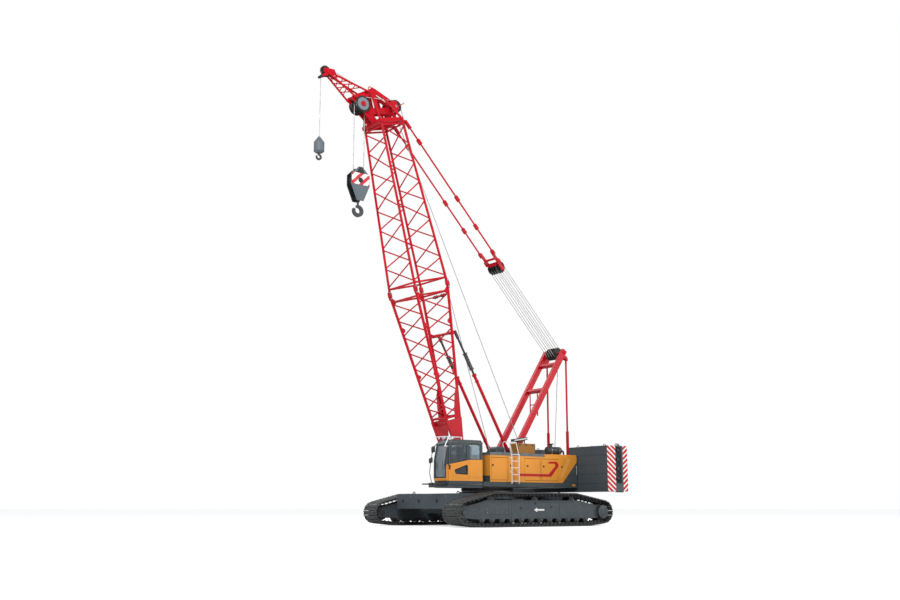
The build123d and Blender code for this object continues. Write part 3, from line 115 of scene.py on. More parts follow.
class Nodes:
    """A material's node tree, with short calls to add and join nodes."""

    def __init__(self, name):
        self.material = bpy.data.materials.new(name)
        self.material.use_nodes = True
        self.tree = self.material.node_tree
        self.shader = self.tree.nodes["Principled BSDF"]

    def add(self, kind, **values):
        node = self.tree.nodes.new(kind)
        for key, value in values.items():
            setattr(node, key, value)
        return node

    def link(self, output, socket):
        self.tree.links.new(output, socket)

    def normal(self):
        return self.add("ShaderNodeNewGeometry").outputs["Normal"]

    def noise(self, scale, detail, roughness=0.55):
        node = self.add("ShaderNodeTexNoise")
        node.inputs["Scale"].default_value = scale
        node.inputs["Detail"].default_value = detail
        node.inputs["Roughness"].default_value = roughness
        self.link(self.object_place(), node.inputs["Vector"])
        return node.outputs["Fac"]

    def object_place(self):
        return self.add("ShaderNodeTexCoord").outputs["Object"]

    def uv(self):
        return self.add("ShaderNodeTexCoord").outputs["UV"]

    def math(self, operation, a, b=0.0, clamp=False):
        node = self.add("ShaderNodeMath", operation=operation, use_clamp=clamp)
        for socket, value in zip(node.inputs, (a, b)):
            if isinstance(value, (int, float)):
                socket.default_value = value
            else:
                self.link(value, socket)
        return node.outputs[0]

    def ramp(self, factor, low, high, start=0.0, end=1.0):
        """The factor taken from low..high to start..end, smoothly, and held beyond them."""
        node = self.add("ShaderNodeMapRange", interpolation_type="SMOOTHSTEP")
        for name, value in (("From Min", low), ("From Max", high), ("To Min", start), ("To Max", end)):
            node.inputs[name].default_value = value
        self.link(factor, node.inputs["Value"])
        return node.outputs["Result"]

    def mix(self, factor, a, b):
        node = self.add("ShaderNodeMix", data_type="RGBA")
        for socket, value in ((node.inputs["Factor"], factor), (node.inputs[6], a), (node.inputs[7], b)):
            if isinstance(value, (int, float)):
                socket.default_value = value
            elif isinstance(value, tuple):
                socket.default_value = (*value, 1.0)
            else:
                self.link(value, socket)
        return node.outputs[2]

    def separate(self, vector):
        node = self.add("ShaderNodeSeparateXYZ")
        self.link(vector, node.inputs[0])
        return node.outputs

    def edges(self, radius):
        """About 1 on sharp edges and 0 on flats, and the rounded normal that it comes from."""
        bevel = self.add("ShaderNodeBevel", samples=4)
        bevel.inputs["Radius"].default_value = radius
        dot = self.add("ShaderNodeVectorMath", operation="DOT_PRODUCT")
        self.link(bevel.outputs[0], dot.inputs[0])
        self.link(self.normal(), dot.inputs[1])
        return self.ramp(dot.outputs["Value"], 0.99, 0.8, 0.0, 1.0), bevel.outputs[0]

    def bump(self, height, strength, distance, normal=None):
        node = self.add("ShaderNodeBump")
        node.inputs["Strength"].default_value = strength
        node.inputs["Distance"].default_value = distance
        self.link(height, node.inputs["Height"])
        if normal is not None:
            self.link(normal, node.inputs["Normal"])
        self.link(node.outputs[0], self.shader.inputs["Normal"])

    def set(self, **values):
        for name, value in values.items():
            self.shader.inputs[name.replace("_", " ")].default_value = value

    def colour(self, value):
        if isinstance(value, tuple):
            self.shader.inputs["Base Color"].default_value = (*value, 1.0)
        else:
            self.link(value, self.shader.inputs["Base Color"])

    def roughness(self, value):
        self.link(value, self.shader.inputs["Roughness"])


DUST = (0.36, 0.33, 0.29)
STEEL = (0.42, 0.41, 0.40)
SHADE = (0.010, 0.010, 0.012)
SLATE = (0.058, 0.072, 0.079)
ORANGE = (0.80, 0.31, 0.035)
RED = (0.52, 0.004, 0.014)
STRIPE_RED = (0.52, 0.010, 0.012)
WEIGHT = (0.062, 0.080, 0.092)
WHITE = (0.80, 0.80, 0.78)
BLOCK = (0.14, 0.165, 0.19)
SHEAVE_DARK = (0.012, 0.013, 0.014)
BLOCK_DARK = (0.010, 0.011, 0.012)
GREASED = (0.12, 0.11, 0.10)
# On bare metal the lighter edge is a painted highlight as well as wear.
PAINT_EDGE, METAL_EDGE = 0.012, 0.006  # how far from an edge its wear reaches


def paint(name, colour, gloss, dust, wear, colours=None):
    """Machine paint: mottled colour, dust where it faces up, rubbed edges and a faint orange peel."""
    n = Nodes(name)
    base = colours(n) if colours else colour
    broad = n.ramp(n.noise(0.7, 3.0), 0.35, 0.7)
    fine = n.ramp(n.noise(9.0, 6.0, 0.65), 0.42, 0.68)
    darker = n.mix(n.math("MULTIPLY", broad, 0.12), base, SHADE)
    upward = n.ramp(n.separate(n.normal())[2], 0.2, 0.95)
    settled = n.math("MULTIPLY", n.math("ADD", n.math("MULTIPLY", upward, 0.8), 0.2), fine)
    dusty = n.mix(n.math("MULTIPLY", settled, dust), darker, DUST)
    edges, rounded = n.edges(PAINT_EDGE)
    worn = n.math("MULTIPLY", edges, n.ramp(n.noise(5.0, 5.0), 0.5, 0.62))
    n.colour(n.mix(n.math("MULTIPLY", worn, wear), dusty, share(colour, 0.5, STEEL, 0.5)))
    n.roughness(n.ramp(settled, 0.0, 1.0, gloss, min(1.0, gloss + 0.35)))
    n.set(Specular_IOR_Level=0.18)
    n.bump(n.noise(55.0, 3.0), 0.06, 0.004, rounded)
    return n.material


def tread_plate(name, colour):
    """Painted walkway plate with raised diagonal ribs on its upper side."""
    n = Nodes(name)
    x, y, _ = from_slew(n)
    first, second = n.math("ADD", x, y), n.math("SUBTRACT", x, y)
    cells = product(n, bands(n, first, 0.06, 0.5), bands(n, second, 0.06, 0.5))
    other = product(n, bands(n, n.math("ADD", first, 0.03), 0.06, 0.5), bands(n, second, 0.12, 0.2))
    ribs = n.math("MAXIMUM", cells, other)
    ribs = product(n, ribs, n.math("GREATER_THAN", n.separate(n.normal())[2], 0.5))
    grime = n.ramp(n.noise(4.0, 6.0), 0.4, 0.7)
    worn = n.mix(n.math("MULTIPLY", ribs, 0.45), colour, STEEL)
    n.colour(n.mix(n.math("MULTIPLY", grime, 0.3), worn, DUST))
    n.roughness(n.ramp(grime, 0.0, 1.0, 0.45, 0.75))
    n.bump(ribs, 0.6, 0.004)
    return n.material


def metal(name, colour, rough=0.4, metallic=1.0, grime=0.3, scale=14.0):
    """Bare steel or iron with grime in its hollows, and lighter edges that are partly wear and partly a painted
    highlight.
    """
    n = Nodes(name)
    patches = n.ramp(n.noise(scale, 6.0, 0.65), 0.38, 0.68)
    edges, rounded = n.edges(METAL_EDGE)
    soiled = n.mix(n.math("MULTIPLY", patches, grime), colour, share(colour, 0.35, DUST, 0.2))
    # Lighter edges: partly wear, partly a painted highlight.
    edge_wear_and_highlight = tuple(min(1.0, 1.5 * c + 0.05) for c in colour)
    n.colour(n.mix(n.math("MULTIPLY", edges, 0.6), soiled, edge_wear_and_highlight))
    n.roughness(n.ramp(patches, 0.0, 1.0, rough, min(1.0, rough + 0.3)))
    n.set(Metallic=metallic)
    n.bump(n.noise(scale * 4, 4.0), 0.12, 0.004, rounded)
    return n.material


def plastic(name, colour, rough=0.55):
    """Moulded plastic or rubber with a fine grain."""
    n = Nodes(name)
    tone = n.ramp(n.noise(6.0, 4.0), 0.4, 0.65)
    n.colour(n.mix(n.math("MULTIPLY", tone, 0.3), colour, tuple(0.8 * c + 0.03 for c in colour)))
    n.roughness(n.ramp(tone, 0.0, 1.0, rough, rough + 0.15))
    n.bump(n.noise(220.0, 2.0), 0.15, 0.002)
    return n.material


def glazing(name, tint):
    """Tinted window glass with faint smears."""
    n = Nodes(name)
    n.colour(tint)
    n.set(Transmission_Weight=0.9, IOR=1.5, Specular_IOR_Level=0.8, Metallic=0.12)
    n.roughness(n.ramp(n.noise(3.0, 5.0), 0.45, 0.75, 0.01, 0.05))
    return n.material


def lamp_glass(name, tint):
    """A lamp's lens with moulded ribs."""
    n = Nodes(name)
    wave = n.add("ShaderNodeTexWave")
    wave.inputs["Scale"].default_value = 40.0
    n.link(n.object_place(), wave.inputs["Vector"])
    n.colour(n.mix(n.math("MULTIPLY", wave.outputs["Fac"], 0.35), tint, tuple(0.6 * c for c in tint)))
    n.set(Roughness=0.12, Coat_Weight=0.6)
    n.bump(wave.outputs["Fac"], 0.3, 0.003)
    return n.material


def wire_rope(name, colour):
    """Greased wire rope: strands that wind round it, from the mesh's own coordinates, with painted shade in the
    grooves between them.
    """
    n = Nodes(name)
    u, v, _ = n.separate(n.uv())
    turns = n.math("ADD", n.math("MULTIPLY", u, 6.0), n.math("MULTIPLY", v, 26.0))
    wave = n.math("SINE", n.math("MULTIPLY", turns, math.tau))
    strand = n.ramp(wave, -1.0, 0.4)
    grease = n.ramp(n.noise(4.0, 5.0), 0.4, 0.7)
    # Painted shade: the grooves between strands are darkened to three quarters of the colour.
    lit = n.mix(strand, tuple(0.75 * c for c in colour), colour)
    n.colour(n.mix(n.math("MULTIPLY", grease, 0.45), lit, GREASED))
    n.roughness(n.ramp(grease, 0.0, 1.0, 0.35, 0.6))
    n.set(Metallic=0.35)
    n.bump(strand, 0.25, 0.003)
    return n.material


def striped(name, first, second, width, slope):
    """Warning stripes across a plate, from its own coordinates in metres."""
    n = Nodes(name)
    u, v, _ = n.separate(n.uv())
    line = n.math("ADD", u, n.math("MULTIPLY", v, slope))
    stripe = n.math("GREATER_THAN", n.math("FRACT", n.math("DIVIDE", line, width)), 0.56)
    dirt = n.math("MULTIPLY", n.ramp(n.noise(5.0, 6.0), 0.45, 0.7), 0.22)
    n.colour(n.mix(dirt, n.mix(stripe, first, second), DUST))
    n.set(Roughness=0.42)
    n.bump(n.noise(60.0, 3.0), 0.05, 0.003)
    return n.material


def fabric(name, colour):
    """Woven seat cloth."""
    n = Nodes(name)
    waves = []
    for direction in ("X", "Z"):
        wave = n.add("ShaderNodeTexWave", bands_direction=direction)
        wave.inputs["Scale"].default_value = 160.0
        n.link(n.object_place(), wave.inputs["Vector"])
        waves.append(wave.outputs["Fac"])
    weave = n.math("MULTIPLY", *waves)
    n.colour(n.mix(weave, colour, tuple(1.6 * c + 0.01 for c in colour)))
    n.set(Roughness=0.9, Sheen_Weight=0.3)
    n.bump(weave, 0.4, 0.002)
    return n.material


def product(n, *factors):
    """All the factors multiplied together."""
    total = factors[0]
    for factor in factors[1:]:
        total = n.math("MULTIPLY", total, factor)
    return total


def from_slew(n):
    """The x, y and z of the surface from the slewing axis, held by the piece as it moves."""
    x, y, z = n.separate(n.object_place())
    return n.math("SUBTRACT", x, SLEW.x), y, z


def left_of(n, x, z, start, end):
    """1 on the left of the line from start to end, seen with x to the right and z up."""
    across = n.math("MULTIPLY", n.math("SUBTRACT", z, start[1]), end[0] - start[0])
    along = n.math("MULTIPLY", n.math("SUBTRACT", x, start[0]), end[1] - start[1])
    return n.math("GREATER_THAN", n.math("SUBTRACT", across, along), 0.0)


def inside(n, x, z, corners):
    """1 inside a convex outline whose corners run left round it."""
    return product(n, *[left_of(n, x, z, a, b) for a, b in zip(corners, corners[1:] + corners[:1])])


CAB_SIDE, HOUSING_SIDE = 1.44, 1.49  # beyond these y lie the painted sides of cab and housings


def cab_region(n):
    """1 on the cab's lower orange panels, whose top edge falls towards the front."""
    x, y, z = from_slew(n)
    corners = [(1.2, 1.745), (3.16, 1.745), (3.16, 2.30), (2.13, 2.425), (1.2, 2.425)]
    return product(n, inside(n, x, z, corners), n.math("GREATER_THAN", y, CAB_SIDE))


STRIPE = [  # convex parts of the red stripe on a housing's side, in x and z from the slewing axis
    [(-2.21, 1.97), (-0.46, 1.97), (-0.46, 2.08), (-2.07, 2.08)],
    [(-2.21, 1.97), (-2.07, 2.08), (-2.45, 2.42), (-2.63, 2.42)],
    [(-2.63, 2.42), (-2.45, 2.42), (-2.41, 2.51), (-2.53, 2.60)],
    [(-2.53, 2.60), (-2.41, 2.51), (-2.02, 2.51), (-2.13, 2.60)],
]


def housing_stripe(n):
    """1 on the red stripe along the side of a machinery housing."""
    x, y, z = from_slew(n)
    parts = [inside(n, x, z, corners) for corners in STRIPE]
    total = parts[0]
    for part in parts[1:]:
        total = n.math("MAXIMUM", total, part)
    return product(n, total, n.math("GREATER_THAN", n.math("ABSOLUTE", y), HOUSING_SIDE))


def bands(n, position, width, share):
    """1 on stripes across a position, each this share of its width."""
    return n.math("LESS_THAN", n.math("FRACT", n.math("DIVIDE", position, width)), share)


WEIGHT_END = 3.262  # y of the counterweight's outer ends
WEIGHT_RECESS = -4.62, -4.19  # x of the recess that parts the striped faces
WEIGHT_BAND = 0.205


def weight_stripes(n):
    """The warning stripes on the outer ends of the counterweight: where they are, and 1 on the red ones."""
    x, y, z = from_slew(n)
    outer = n.math("GREATER_THAN", n.math("ABSOLUTE", y), WEIGHT_END)
    front = n.math("GREATER_THAN", x, WEIGHT_RECESS[1])
    place = n.math("MAXIMUM", front, n.math("LESS_THAN", x, WEIGHT_RECESS[0]))
    slope = n.math("SUBTRACT", n.math("MULTIPLY", front, 2.0), 1.0)
    lean = n.math("MULTIPLY", product(n, x, slope), -0.75)
    return product(n, place, outer), bands(n, n.math("ADD", z, lean), WEIGHT_BAND, 0.6)


def cab_colours(n):
    return n.mix(cab_region(n), SLATE, ORANGE)


BRIDLE_HALF = 0.29  # half the width of the bridle's row of sheaves
BRIDLE_SHEAVES = 4.96  # how far from the gantry head the row ends
BLOCK_MIDDLE = 0.152  # half the width between the cheeks of the hook block


def bridle_colours(n):
    """Dark on the sheaves at the lower end of the bridle, red on its frame."""
    x, y, z = n.separate(n.object_place())
    along = n.math("ADD", n.math("MULTIPLY", n.math("SUBTRACT", x, GANTRY_HEAD.x), LINE.x),
                   n.math("MULTIPLY", n.math("SUBTRACT", z, GANTRY_HEAD.z), LINE.z))
    near = n.math("LESS_THAN", n.math("ABSOLUTE", y), BRIDLE_HALF)
    return n.mix(product(n, near, n.math("LESS_THAN", along, BRIDLE_SHEAVES)), RED, SHEAVE_DARK)


def block_colours(n):
    """Grey cheeks on a dark middle."""
    y = n.separate(n.object_place())[1]
    return n.mix(n.math("LESS_THAN", n.math("ABSOLUTE", y), BLOCK_MIDDLE), BLOCK, BLOCK_DARK)


def housing_colours(n):
    return n.mix(housing_stripe(n), ORANGE, STRIPE_RED)


def weight_colours(n):
    place, red = weight_stripes(n)
    return n.mix(place, WEIGHT, n.mix(red, WHITE, STRIPE_RED))


def looks(make, **rows):
    """One material from each row, made by the same function and kept under the row's name."""
    return {name: make(name, *values) for name, values in rows.items()}


LOOKS = {
    **looks(  # colour, gloss, dust, wear, and how the colour changes from place to place
        paint,
        bridle_paint=(RED, 0.36, 0.0, 0.12, bridle_colours),
        block_paint=(BLOCK, 0.4, 0.15, 0.3, block_colours),
        dish_grey=((0.20, 0.24, 0.265), 0.35, 0.1, 0.3),
        # Light orange for the housing ribs: a painted highlight on raised ribs that are the housing's own orange.
        rib_paint=((0.88, 0.56, 0.25), 0.3, 0.05, 0.1),
        slate_paint=(SLATE, 0.42, 0.30, 0.5),
        cab_paint=(SLATE, 0.32, 0.08, 0.25, cab_colours),
        orange_paint=(ORANGE, 0.30, 0.10, 0.2),
        housing_paint=(ORANGE, 0.30, 0.10, 0.2, housing_colours),
        red_paint=(RED, 0.36, 0.0, 0.12),
        weight_paint=(WEIGHT, 0.45, 0.2, 0.4),
        striped_weight_paint=(WEIGHT, 0.45, 0.2, 0.4, weight_colours),
        grey_paint=((0.105, 0.115, 0.125), 0.5, 0.35, 0.4),
        ochre_paint=((0.30, 0.125, 0.016), 0.4, 0.1, 0.3),
        white_paint=(WHITE, 0.35, 0.15, 0.3),
        block_grey=((0.125, 0.15, 0.17), 0.42, 0.15, 0.4),
        drum_paint=((0.06, 0.065, 0.07), 0.4, 0.3, 0.5),
    ),
    **looks(  # colour, roughness, metallic, grime and its scale
        metal,
        sheave_grey=((0.20, 0.22, 0.23), 0.38, 0.6, 0.35),
        sheave_black=((0.020, 0.022, 0.020), 0.45, 0.3, 0.3),
        roller_steel=((0.055, 0.056, 0.056), 0.5, 0.5, 0.6),
        track_steel=((0.040, 0.043, 0.044), 0.5, 0.25, 0.6, 7.0),
        bare_steel=((0.24, 0.23, 0.22),),
        engine_iron=((0.10, 0.11, 0.11), 0.55, 0.6),
        dark_steel=((0.045, 0.046, 0.048), 0.42, 0.6),
        exhaust_steel=((0.05, 0.056, 0.06), 0.5, 0.5, 0.4),
        hook_steel=((0.070, 0.075, 0.080), 0.45, 0.6, 0.4),
        pin_steel=((0.36, 0.35, 0.34), 0.32),
    ),
    **looks(glazing, dark_glass=((0.22, 0.26, 0.29),), window_glass=((0.62, 0.72, 0.78),)),
    **looks(lamp_glass, lamp_white=((0.85, 0.87, 0.88),), lamp_amber=((0.85, 0.30, 0.02),)),
    **looks(plastic, rubber=((0.015, 0.015, 0.016), 0.65), dark_plastic=((0.030, 0.030, 0.033),)),
    **looks(tread_plate, tread_plate=((0.085, 0.10, 0.11),)),
    **looks(fabric, seat_fabric=((0.035, 0.035, 0.042),)),
    **looks(wire_rope, wire_rope=((0.55, 0.55, 0.54),)),
    **looks(striped, warning_stripes=((0.80, 0.79, 0.77), (0.60, 0.012, 0.025), 0.42, 1.0)),
}

NODE_LOOKS = {
    "bridle": "bridle_paint", "main_hook_block": "block_paint", "head_sheaves": "sheave_black",
    "auxiliary_sheave": "sheave_black", "gantry_sheaves": "sheave_black", "cab_door_glass": "dark_glass",
    "cab_shell": "cab_paint", "cab_door": "cab_paint", "left_housing": "housing_paint",
    "right_housing": "housing_paint", "counterweight_slabs": "striped_weight_paint",
    "counterweight_base": "striped_weight_paint", "roof_walkways": "tread_plate",
}
for side in ("left", "right"):
    for door in ("front", "middle", "rear"):
        NODE_LOOKS[f"{side}_{door}_door"] = "housing_paint"
for row in frame["record"]["subparts"]:
    node = row["node"]
    mesh = frame["nodes"][node].data
    mesh.materials.clear()
    mesh.materials.append(LOOKS[NODE_LOOKS.get(node, row["material_slot"])])


# Stage ---------------------------------------------------------------------------------------------

CAMERA_PLACE = (26.944, 34.052, 0.785)  # from the slewing axis
CAMERA_PAN, CAMERA_TILT = 36.33, 11.27  # degrees from the machine's right towards its rear, and up
CAMERA_LENS, SENSOR = 41.36, 36.0  # millimetres


def build_camera():
    """The camera that looks up at the machine from low on its left, ahead of its side."""
    data = bpy.data.cameras.new("camera")
    data.lens, data.sensor_width = CAMERA_LENS, SENSOR
    data.clip_end = 500.0
    camera = bpy.data.objects.new("camera", data)
    bpy.context.scene.collection.objects.link(camera)
    camera.location = at(*CAMERA_PLACE)
    pan, tilt = math.radians(CAMERA_PAN), math.radians(CAMERA_TILT)
    direction = Vector((-math.sin(pan) * math.cos(tilt), -math.cos(pan) * math.cos(tilt), math.sin(tilt)))
    camera.rotation_euler = direction.to_track_quat("-Z", "Y").to_euler()
    bpy.context.scene.camera = camera


def area_light(name, place, target, size, power):
    """A soft square lamp that faces the target."""
    data = bpy.data.lights.new(name, "AREA")
    data.shape = "SQUARE"
    data.size = size
    data.energy = power
    lamp = bpy.data.objects.new(name, data)
    bpy.context.scene.collection.objects.link(lamp)
    lamp.location = place
    lamp.rotation_euler = (Vector(target) - Vector(place)).to_track_quat("-Z", "Y").to_euler()


def build_world():
    """A soft even sky, seen as white."""
    world = bpy.data.worlds.new("studio")
    world.use_nodes = True
    tree = world.node_tree
    background = tree.nodes["Background"]
    background.inputs["Color"].default_value = (0.93, 0.96, 1.0, 1.0)
    background.inputs["Strength"].default_value = 0.55
    white = tree.nodes.new("ShaderNodeBackground")
    white.inputs["Color"].default_value = (1.0, 1.0, 1.0, 1.0)
    path = tree.nodes.new("ShaderNodeLightPath")
    seen = tree.nodes.new("ShaderNodeMath")
    seen.operation = "MAXIMUM"
    mix = tree.nodes.new("ShaderNodeMixShader")
    tree.links.new(path.outputs["Is Camera Ray"], seen.inputs[0])
    tree.links.new(path.outputs["Is Transmission Ray"], seen.inputs[1])
    tree.links.new(seen.outputs[0], mix.inputs[0])
    tree.links.new(background.outputs[0], mix.inputs[1])
    tree.links.new(white.outputs[0], mix.inputs[2])
    tree.links.new(mix.outputs[0], tree.nodes["World Output"].inputs["Surface"])
    bpy.context.scene.world = world


def build_floor():
    """A wide pale floor that keeps the machine's shadow and is otherwise white to the camera."""
    bpy.ops.mesh.primitive_circle_add(vertices=96, radius=260.0, fill_type="NGON", location=(0, 0, -0.002))
    floor = bpy.context.object
    floor.name = "floor"
    n = Nodes("floor")
    n.set(Roughness=0.9, Specular_IOR_Level=0.1)
    grain = n.ramp(n.noise(2.0, 5.0), 0.3, 0.7, 0.78, 0.82)
    tone = n.add("ShaderNodeCombineColor")
    for socket in tone.inputs[:3]:
        n.link(grain, socket)
    n.colour(tone.outputs[0])
    glow = n.add("ShaderNodeEmission")
    path = n.add("ShaderNodeLightPath").outputs["Is Camera Ray"]
    n.link(n.math("MULTIPLY", path, 0.52), glow.inputs["Strength"])
    total = n.add("ShaderNodeAddShader")
    n.link(n.shader.outputs[0], total.inputs[0])
    n.link(glow.outputs[0], total.inputs[1])
    n.link(total.outputs[0], n.tree.nodes["Material Output"].inputs["Surface"])
    floor.data.materials.append(n.material)


LAMPS = (  # name, place from the slewing axis, size and power
    ("key", (26, 24, 26), 16.0, 9500.0),
    ("fill", (-22, 26, 14), 18.0, 4200.0),
    ("back", (4, -30, 24), 18.0, 4200.0),
)


def build_stage():
    build_camera()
    build_world()
    build_floor()
    for name, place, size, power in LAMPS:
        area_light(name, at(*place), at(1.5, 0, 7.0), size, power)
    bpy.context.scene.view_settings.view_transform = "Standard"


build_stage()


# Shapes --------------------------------------------------------------------------------------------

def square_to(axis):
    """Two unit vectors square to the axis and to each other."""
    axis = Vector(axis).normalized()
    side = Vector((0, 0, 1)) if abs(axis.z) < 0.9 else Vector((1, 0, 0))
    first = axis.cross(side).normalized()
    return first, axis.cross(first).normalized()


def circle(centre, first, second, radius, sides):
    """Points round a centre, from the first of two vectors towards the second."""
    angles = [math.tau * k / sides for k in range(sides)]
    return [centre + radius * (math.cos(a) * first + math.sin(a) * second) for a in angles]


def cap(radius, side, top, inner):
    """The profile of a low cap: straight up its side, then drawn in to its top."""
    return (0, radius), (side, radius), (top, inner)


SMOOTH_BELOW = math.radians(38)  # edges that turn less than this are shaded smooth


class Kit:
    """Collects plain shapes with named sizes and makes one mesh of them."""

    def __init__(self):
        self.mesh = bmesh.new()
        self.uv = self.mesh.loops.layers.uv.new("UVMap")

    def face(self, corners):
        try:
            return self.mesh.faces.new(corners)
        except ValueError:
            return None

    def loft(self, rings, closed=False, stations=None):
        """Joins rings of the same number of points with faces, and fills the two ends unless it is closed."""
        made = [[self.mesh.verts.new(p) for p in ring] for ring in rings]
        stations = stations or range(len(rings) + 1)
        pairs = list(zip(made, made[1:]))
        if closed:
            pairs.append((made[-1], made[0]))
        for row, (a, b) in enumerate(pairs):
            count = len(a)
            low, high = stations[row], stations[min(row + 1, len(stations) - 1)]
            for k in range(count):
                j = (k + 1) % count
                face = self.face((a[k], a[j], b[j], b[k]))
                if face is not None:
                    for loop, uv in zip(face.loops, ((k, low), (k + 1, low), (k + 1, high), (k, high))):
                        loop[self.uv].uv = (uv[0] / count, uv[1])
        if not closed:
            self.face(list(reversed(made[0])))
            self.face(made[-1])

    def prism(self, outline, depth):
        """An outline of points pushed along a vector."""
        self.loft([outline, [Vector(p) + Vector(depth) for p in outline]])

    def box(self, low, high):
        """A box between its lowest and its highest corner."""
        (x0, y0, z0), (x1, y1, z1) = low, high
        self.loft([[Vector((x, y, z)) for x, y in rectangle(x0, y0, x1, y1)] for z in (z0, z1)])

    def plate(self, y, outline, thick):
        """A flat plate on a plane of constant y, its outline in x and z from the slewing axis."""
        self.prism(side_face(y, outline), (0, thick, 0))

    def ring(self, centre, axis, radius, sides):
        return circle(Vector(centre), *square_to(axis), radius, sides)

    def turned(self, start, axis, profile, sides):
        """A turned shape: the profile gives distance along the axis and radius."""
        axis = Vector(axis).normalized()
        rings = [self.ring(Vector(start) + along * axis, axis, radius, sides) for along, radius in profile]
        self.loft(rings, stations=[along for along, _ in profile])

    def rod(self, start, end, radius, sides=12):
        start, end = Vector(start), Vector(end)
        self.turned(start, end - start, ((0.0, radius), ((end - start).length, radius)), sides)

    def bolt(self, place, axis, size):
        """A hexagon bolt head on a washer."""
        self.turned(place, axis, ((0.0, size * 1.15), (size * 0.18, size * 1.15)), 16)
        head = ((size * 0.15, size * 0.9), (size * 0.7, size * 0.9), (size * 0.8, size * 0.78))
        self.turned(place, axis, head, 6)

    def bolt_circle(self, centre, axis, radius, count, size):
        for place in self.ring(centre, axis, radius, count):
            self.bolt(place, axis, size)

    def pipe(self, points, radius, sides=10, bend=0.0):
        """A pipe through the points, its corners rounded by bends of the given radius."""
        line = rounded_line([Vector(p) for p in points], bend) if bend else [Vector(p) for p in points]
        ways = [(b - a).normalized() for a, b in zip(line, line[1:])]
        first, _ = square_to(ways[0])
        rings, stations = [], [0.0]
        for k, point in enumerate(line):
            if k:
                stations.append(stations[-1] + (point - line[k - 1]).length)
            way = (ways[max(k - 1, 0)] + ways[min(k, len(ways) - 1)]).normalized()
            first = (first - first.dot(way) * way).normalized()
            rings.append(circle(point, first, way.cross(first), radius, sides))
        self.loft(rings, stations=stations)

    def done(self, name, look, body, slot, bevel=0.0):
        """The mesh as an object of one look, which rides on a body when one is given. The slot is not used."""
        bmesh.ops.recalc_face_normals(self.mesh, faces=self.mesh.faces)
        data = bpy.data.meshes.new(name)
        self.mesh.to_mesh(data)
        self.mesh.free()
        data.polygons.foreach_set("use_smooth", [True] * len(data.polygons))
        data.set_sharp_from_angle(angle=SMOOTH_BELOW)
        piece = bpy.data.objects.new(name, data)
        bpy.context.scene.collection.objects.link(piece)
        data.materials.append(LOOKS[look])
        if bevel:
            modifier = piece.modifiers.new("edges", "BEVEL")
            modifier.width = bevel
            modifier.segments = 2
            modifier.limit_method = "ANGLE"
        if body is not None:
            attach(piece, body)
        return piece


def rounded_line(points, radius):
    """The points with an arc of this radius at each inner corner."""
    line = [points[0]]
    for before, corner, after in zip(points, points[1:], points[2:]):
        back, ahead = (before - corner).normalized(), (after - corner).normalized()
        turn = math.pi - back.angle(ahead)
        reach = min(radius * math.tan(turn / 2), 0.45 * min((before - corner).length, (after - corner).length))
        steps = max(2, round(math.degrees(turn) / 15))
        start, end = corner + reach * back, corner + reach * ahead
        for k in range(steps + 1):
            t = k / steps
            line.append((1 - t) ** 2 * start + 2 * t * (1 - t) * corner + t * t * end)
    line.append(points[-1])
    return line


# Undercarriage -------------------------------------------------------------------------------------

SHOE_PITCH = 0.2
SHOE_GAP = 0.034
SIDES = (("left", 1), ("right", -1))
AHEAD, ACROSS, UP = Vector((1, 0, 0)), Vector((0, 1, 0)), Vector((0, 0, 1))


def convex_line(node):
    """The outline of a node in x and z, turning left all the way round."""
    points = sorted({(round(v.co.x, 4), round(v.co.z, 4)) for v in frame["nodes"][node].data.vertices})
    halves = []
    for run in (points, points[::-1]):
        line = []
        for p in run:
            while len(line) > 1:
                (ax, az), (bx, bz) = line[-2:]
                if (bx - ax) * (p[1] - az) - (bz - az) * (p[0] - ax) > 0:
                    break
                line.pop()
            line.append(p)
        halves += line[:-1]
    return [Vector((x, 0, z)) for x, z in halves]


def walk(line, distance):
    """The point this far along a closed line."""
    for start, end in zip(line, line[1:] + line[:1]):
        length = (end - start).length
        if distance <= length:
            return start.lerp(end, distance / length)
        distance -= length
    return line[0].copy()


def shoe_places(node):
    """The ends of each shoe's outer face, on the track's own outline."""
    line = convex_line(node)
    total = sum((b - a).length for a, b in zip(line, line[1:] + line[:1]))
    count = round(total / SHOE_PITCH)
    edge = SHOE_GAP / 2 / total
    return [
        (walk(line, (k / count + edge) * total), walk(line, ((k + 1) / count - edge) * total))
        for k in range(count)
    ]


def shoe_profile(length, middle):
    """Distance along the shoe and depth below its outer face; the middle is as deep as given."""
    return [
        (0, 0.014), (0.014, 0), (0.040, 0), (0.052, middle), (length - 0.052, middle), (length - 0.040, 0),
        (length - 0.014, 0), (length, 0.014), (length, 0.048), (0, 0.048),
    ]


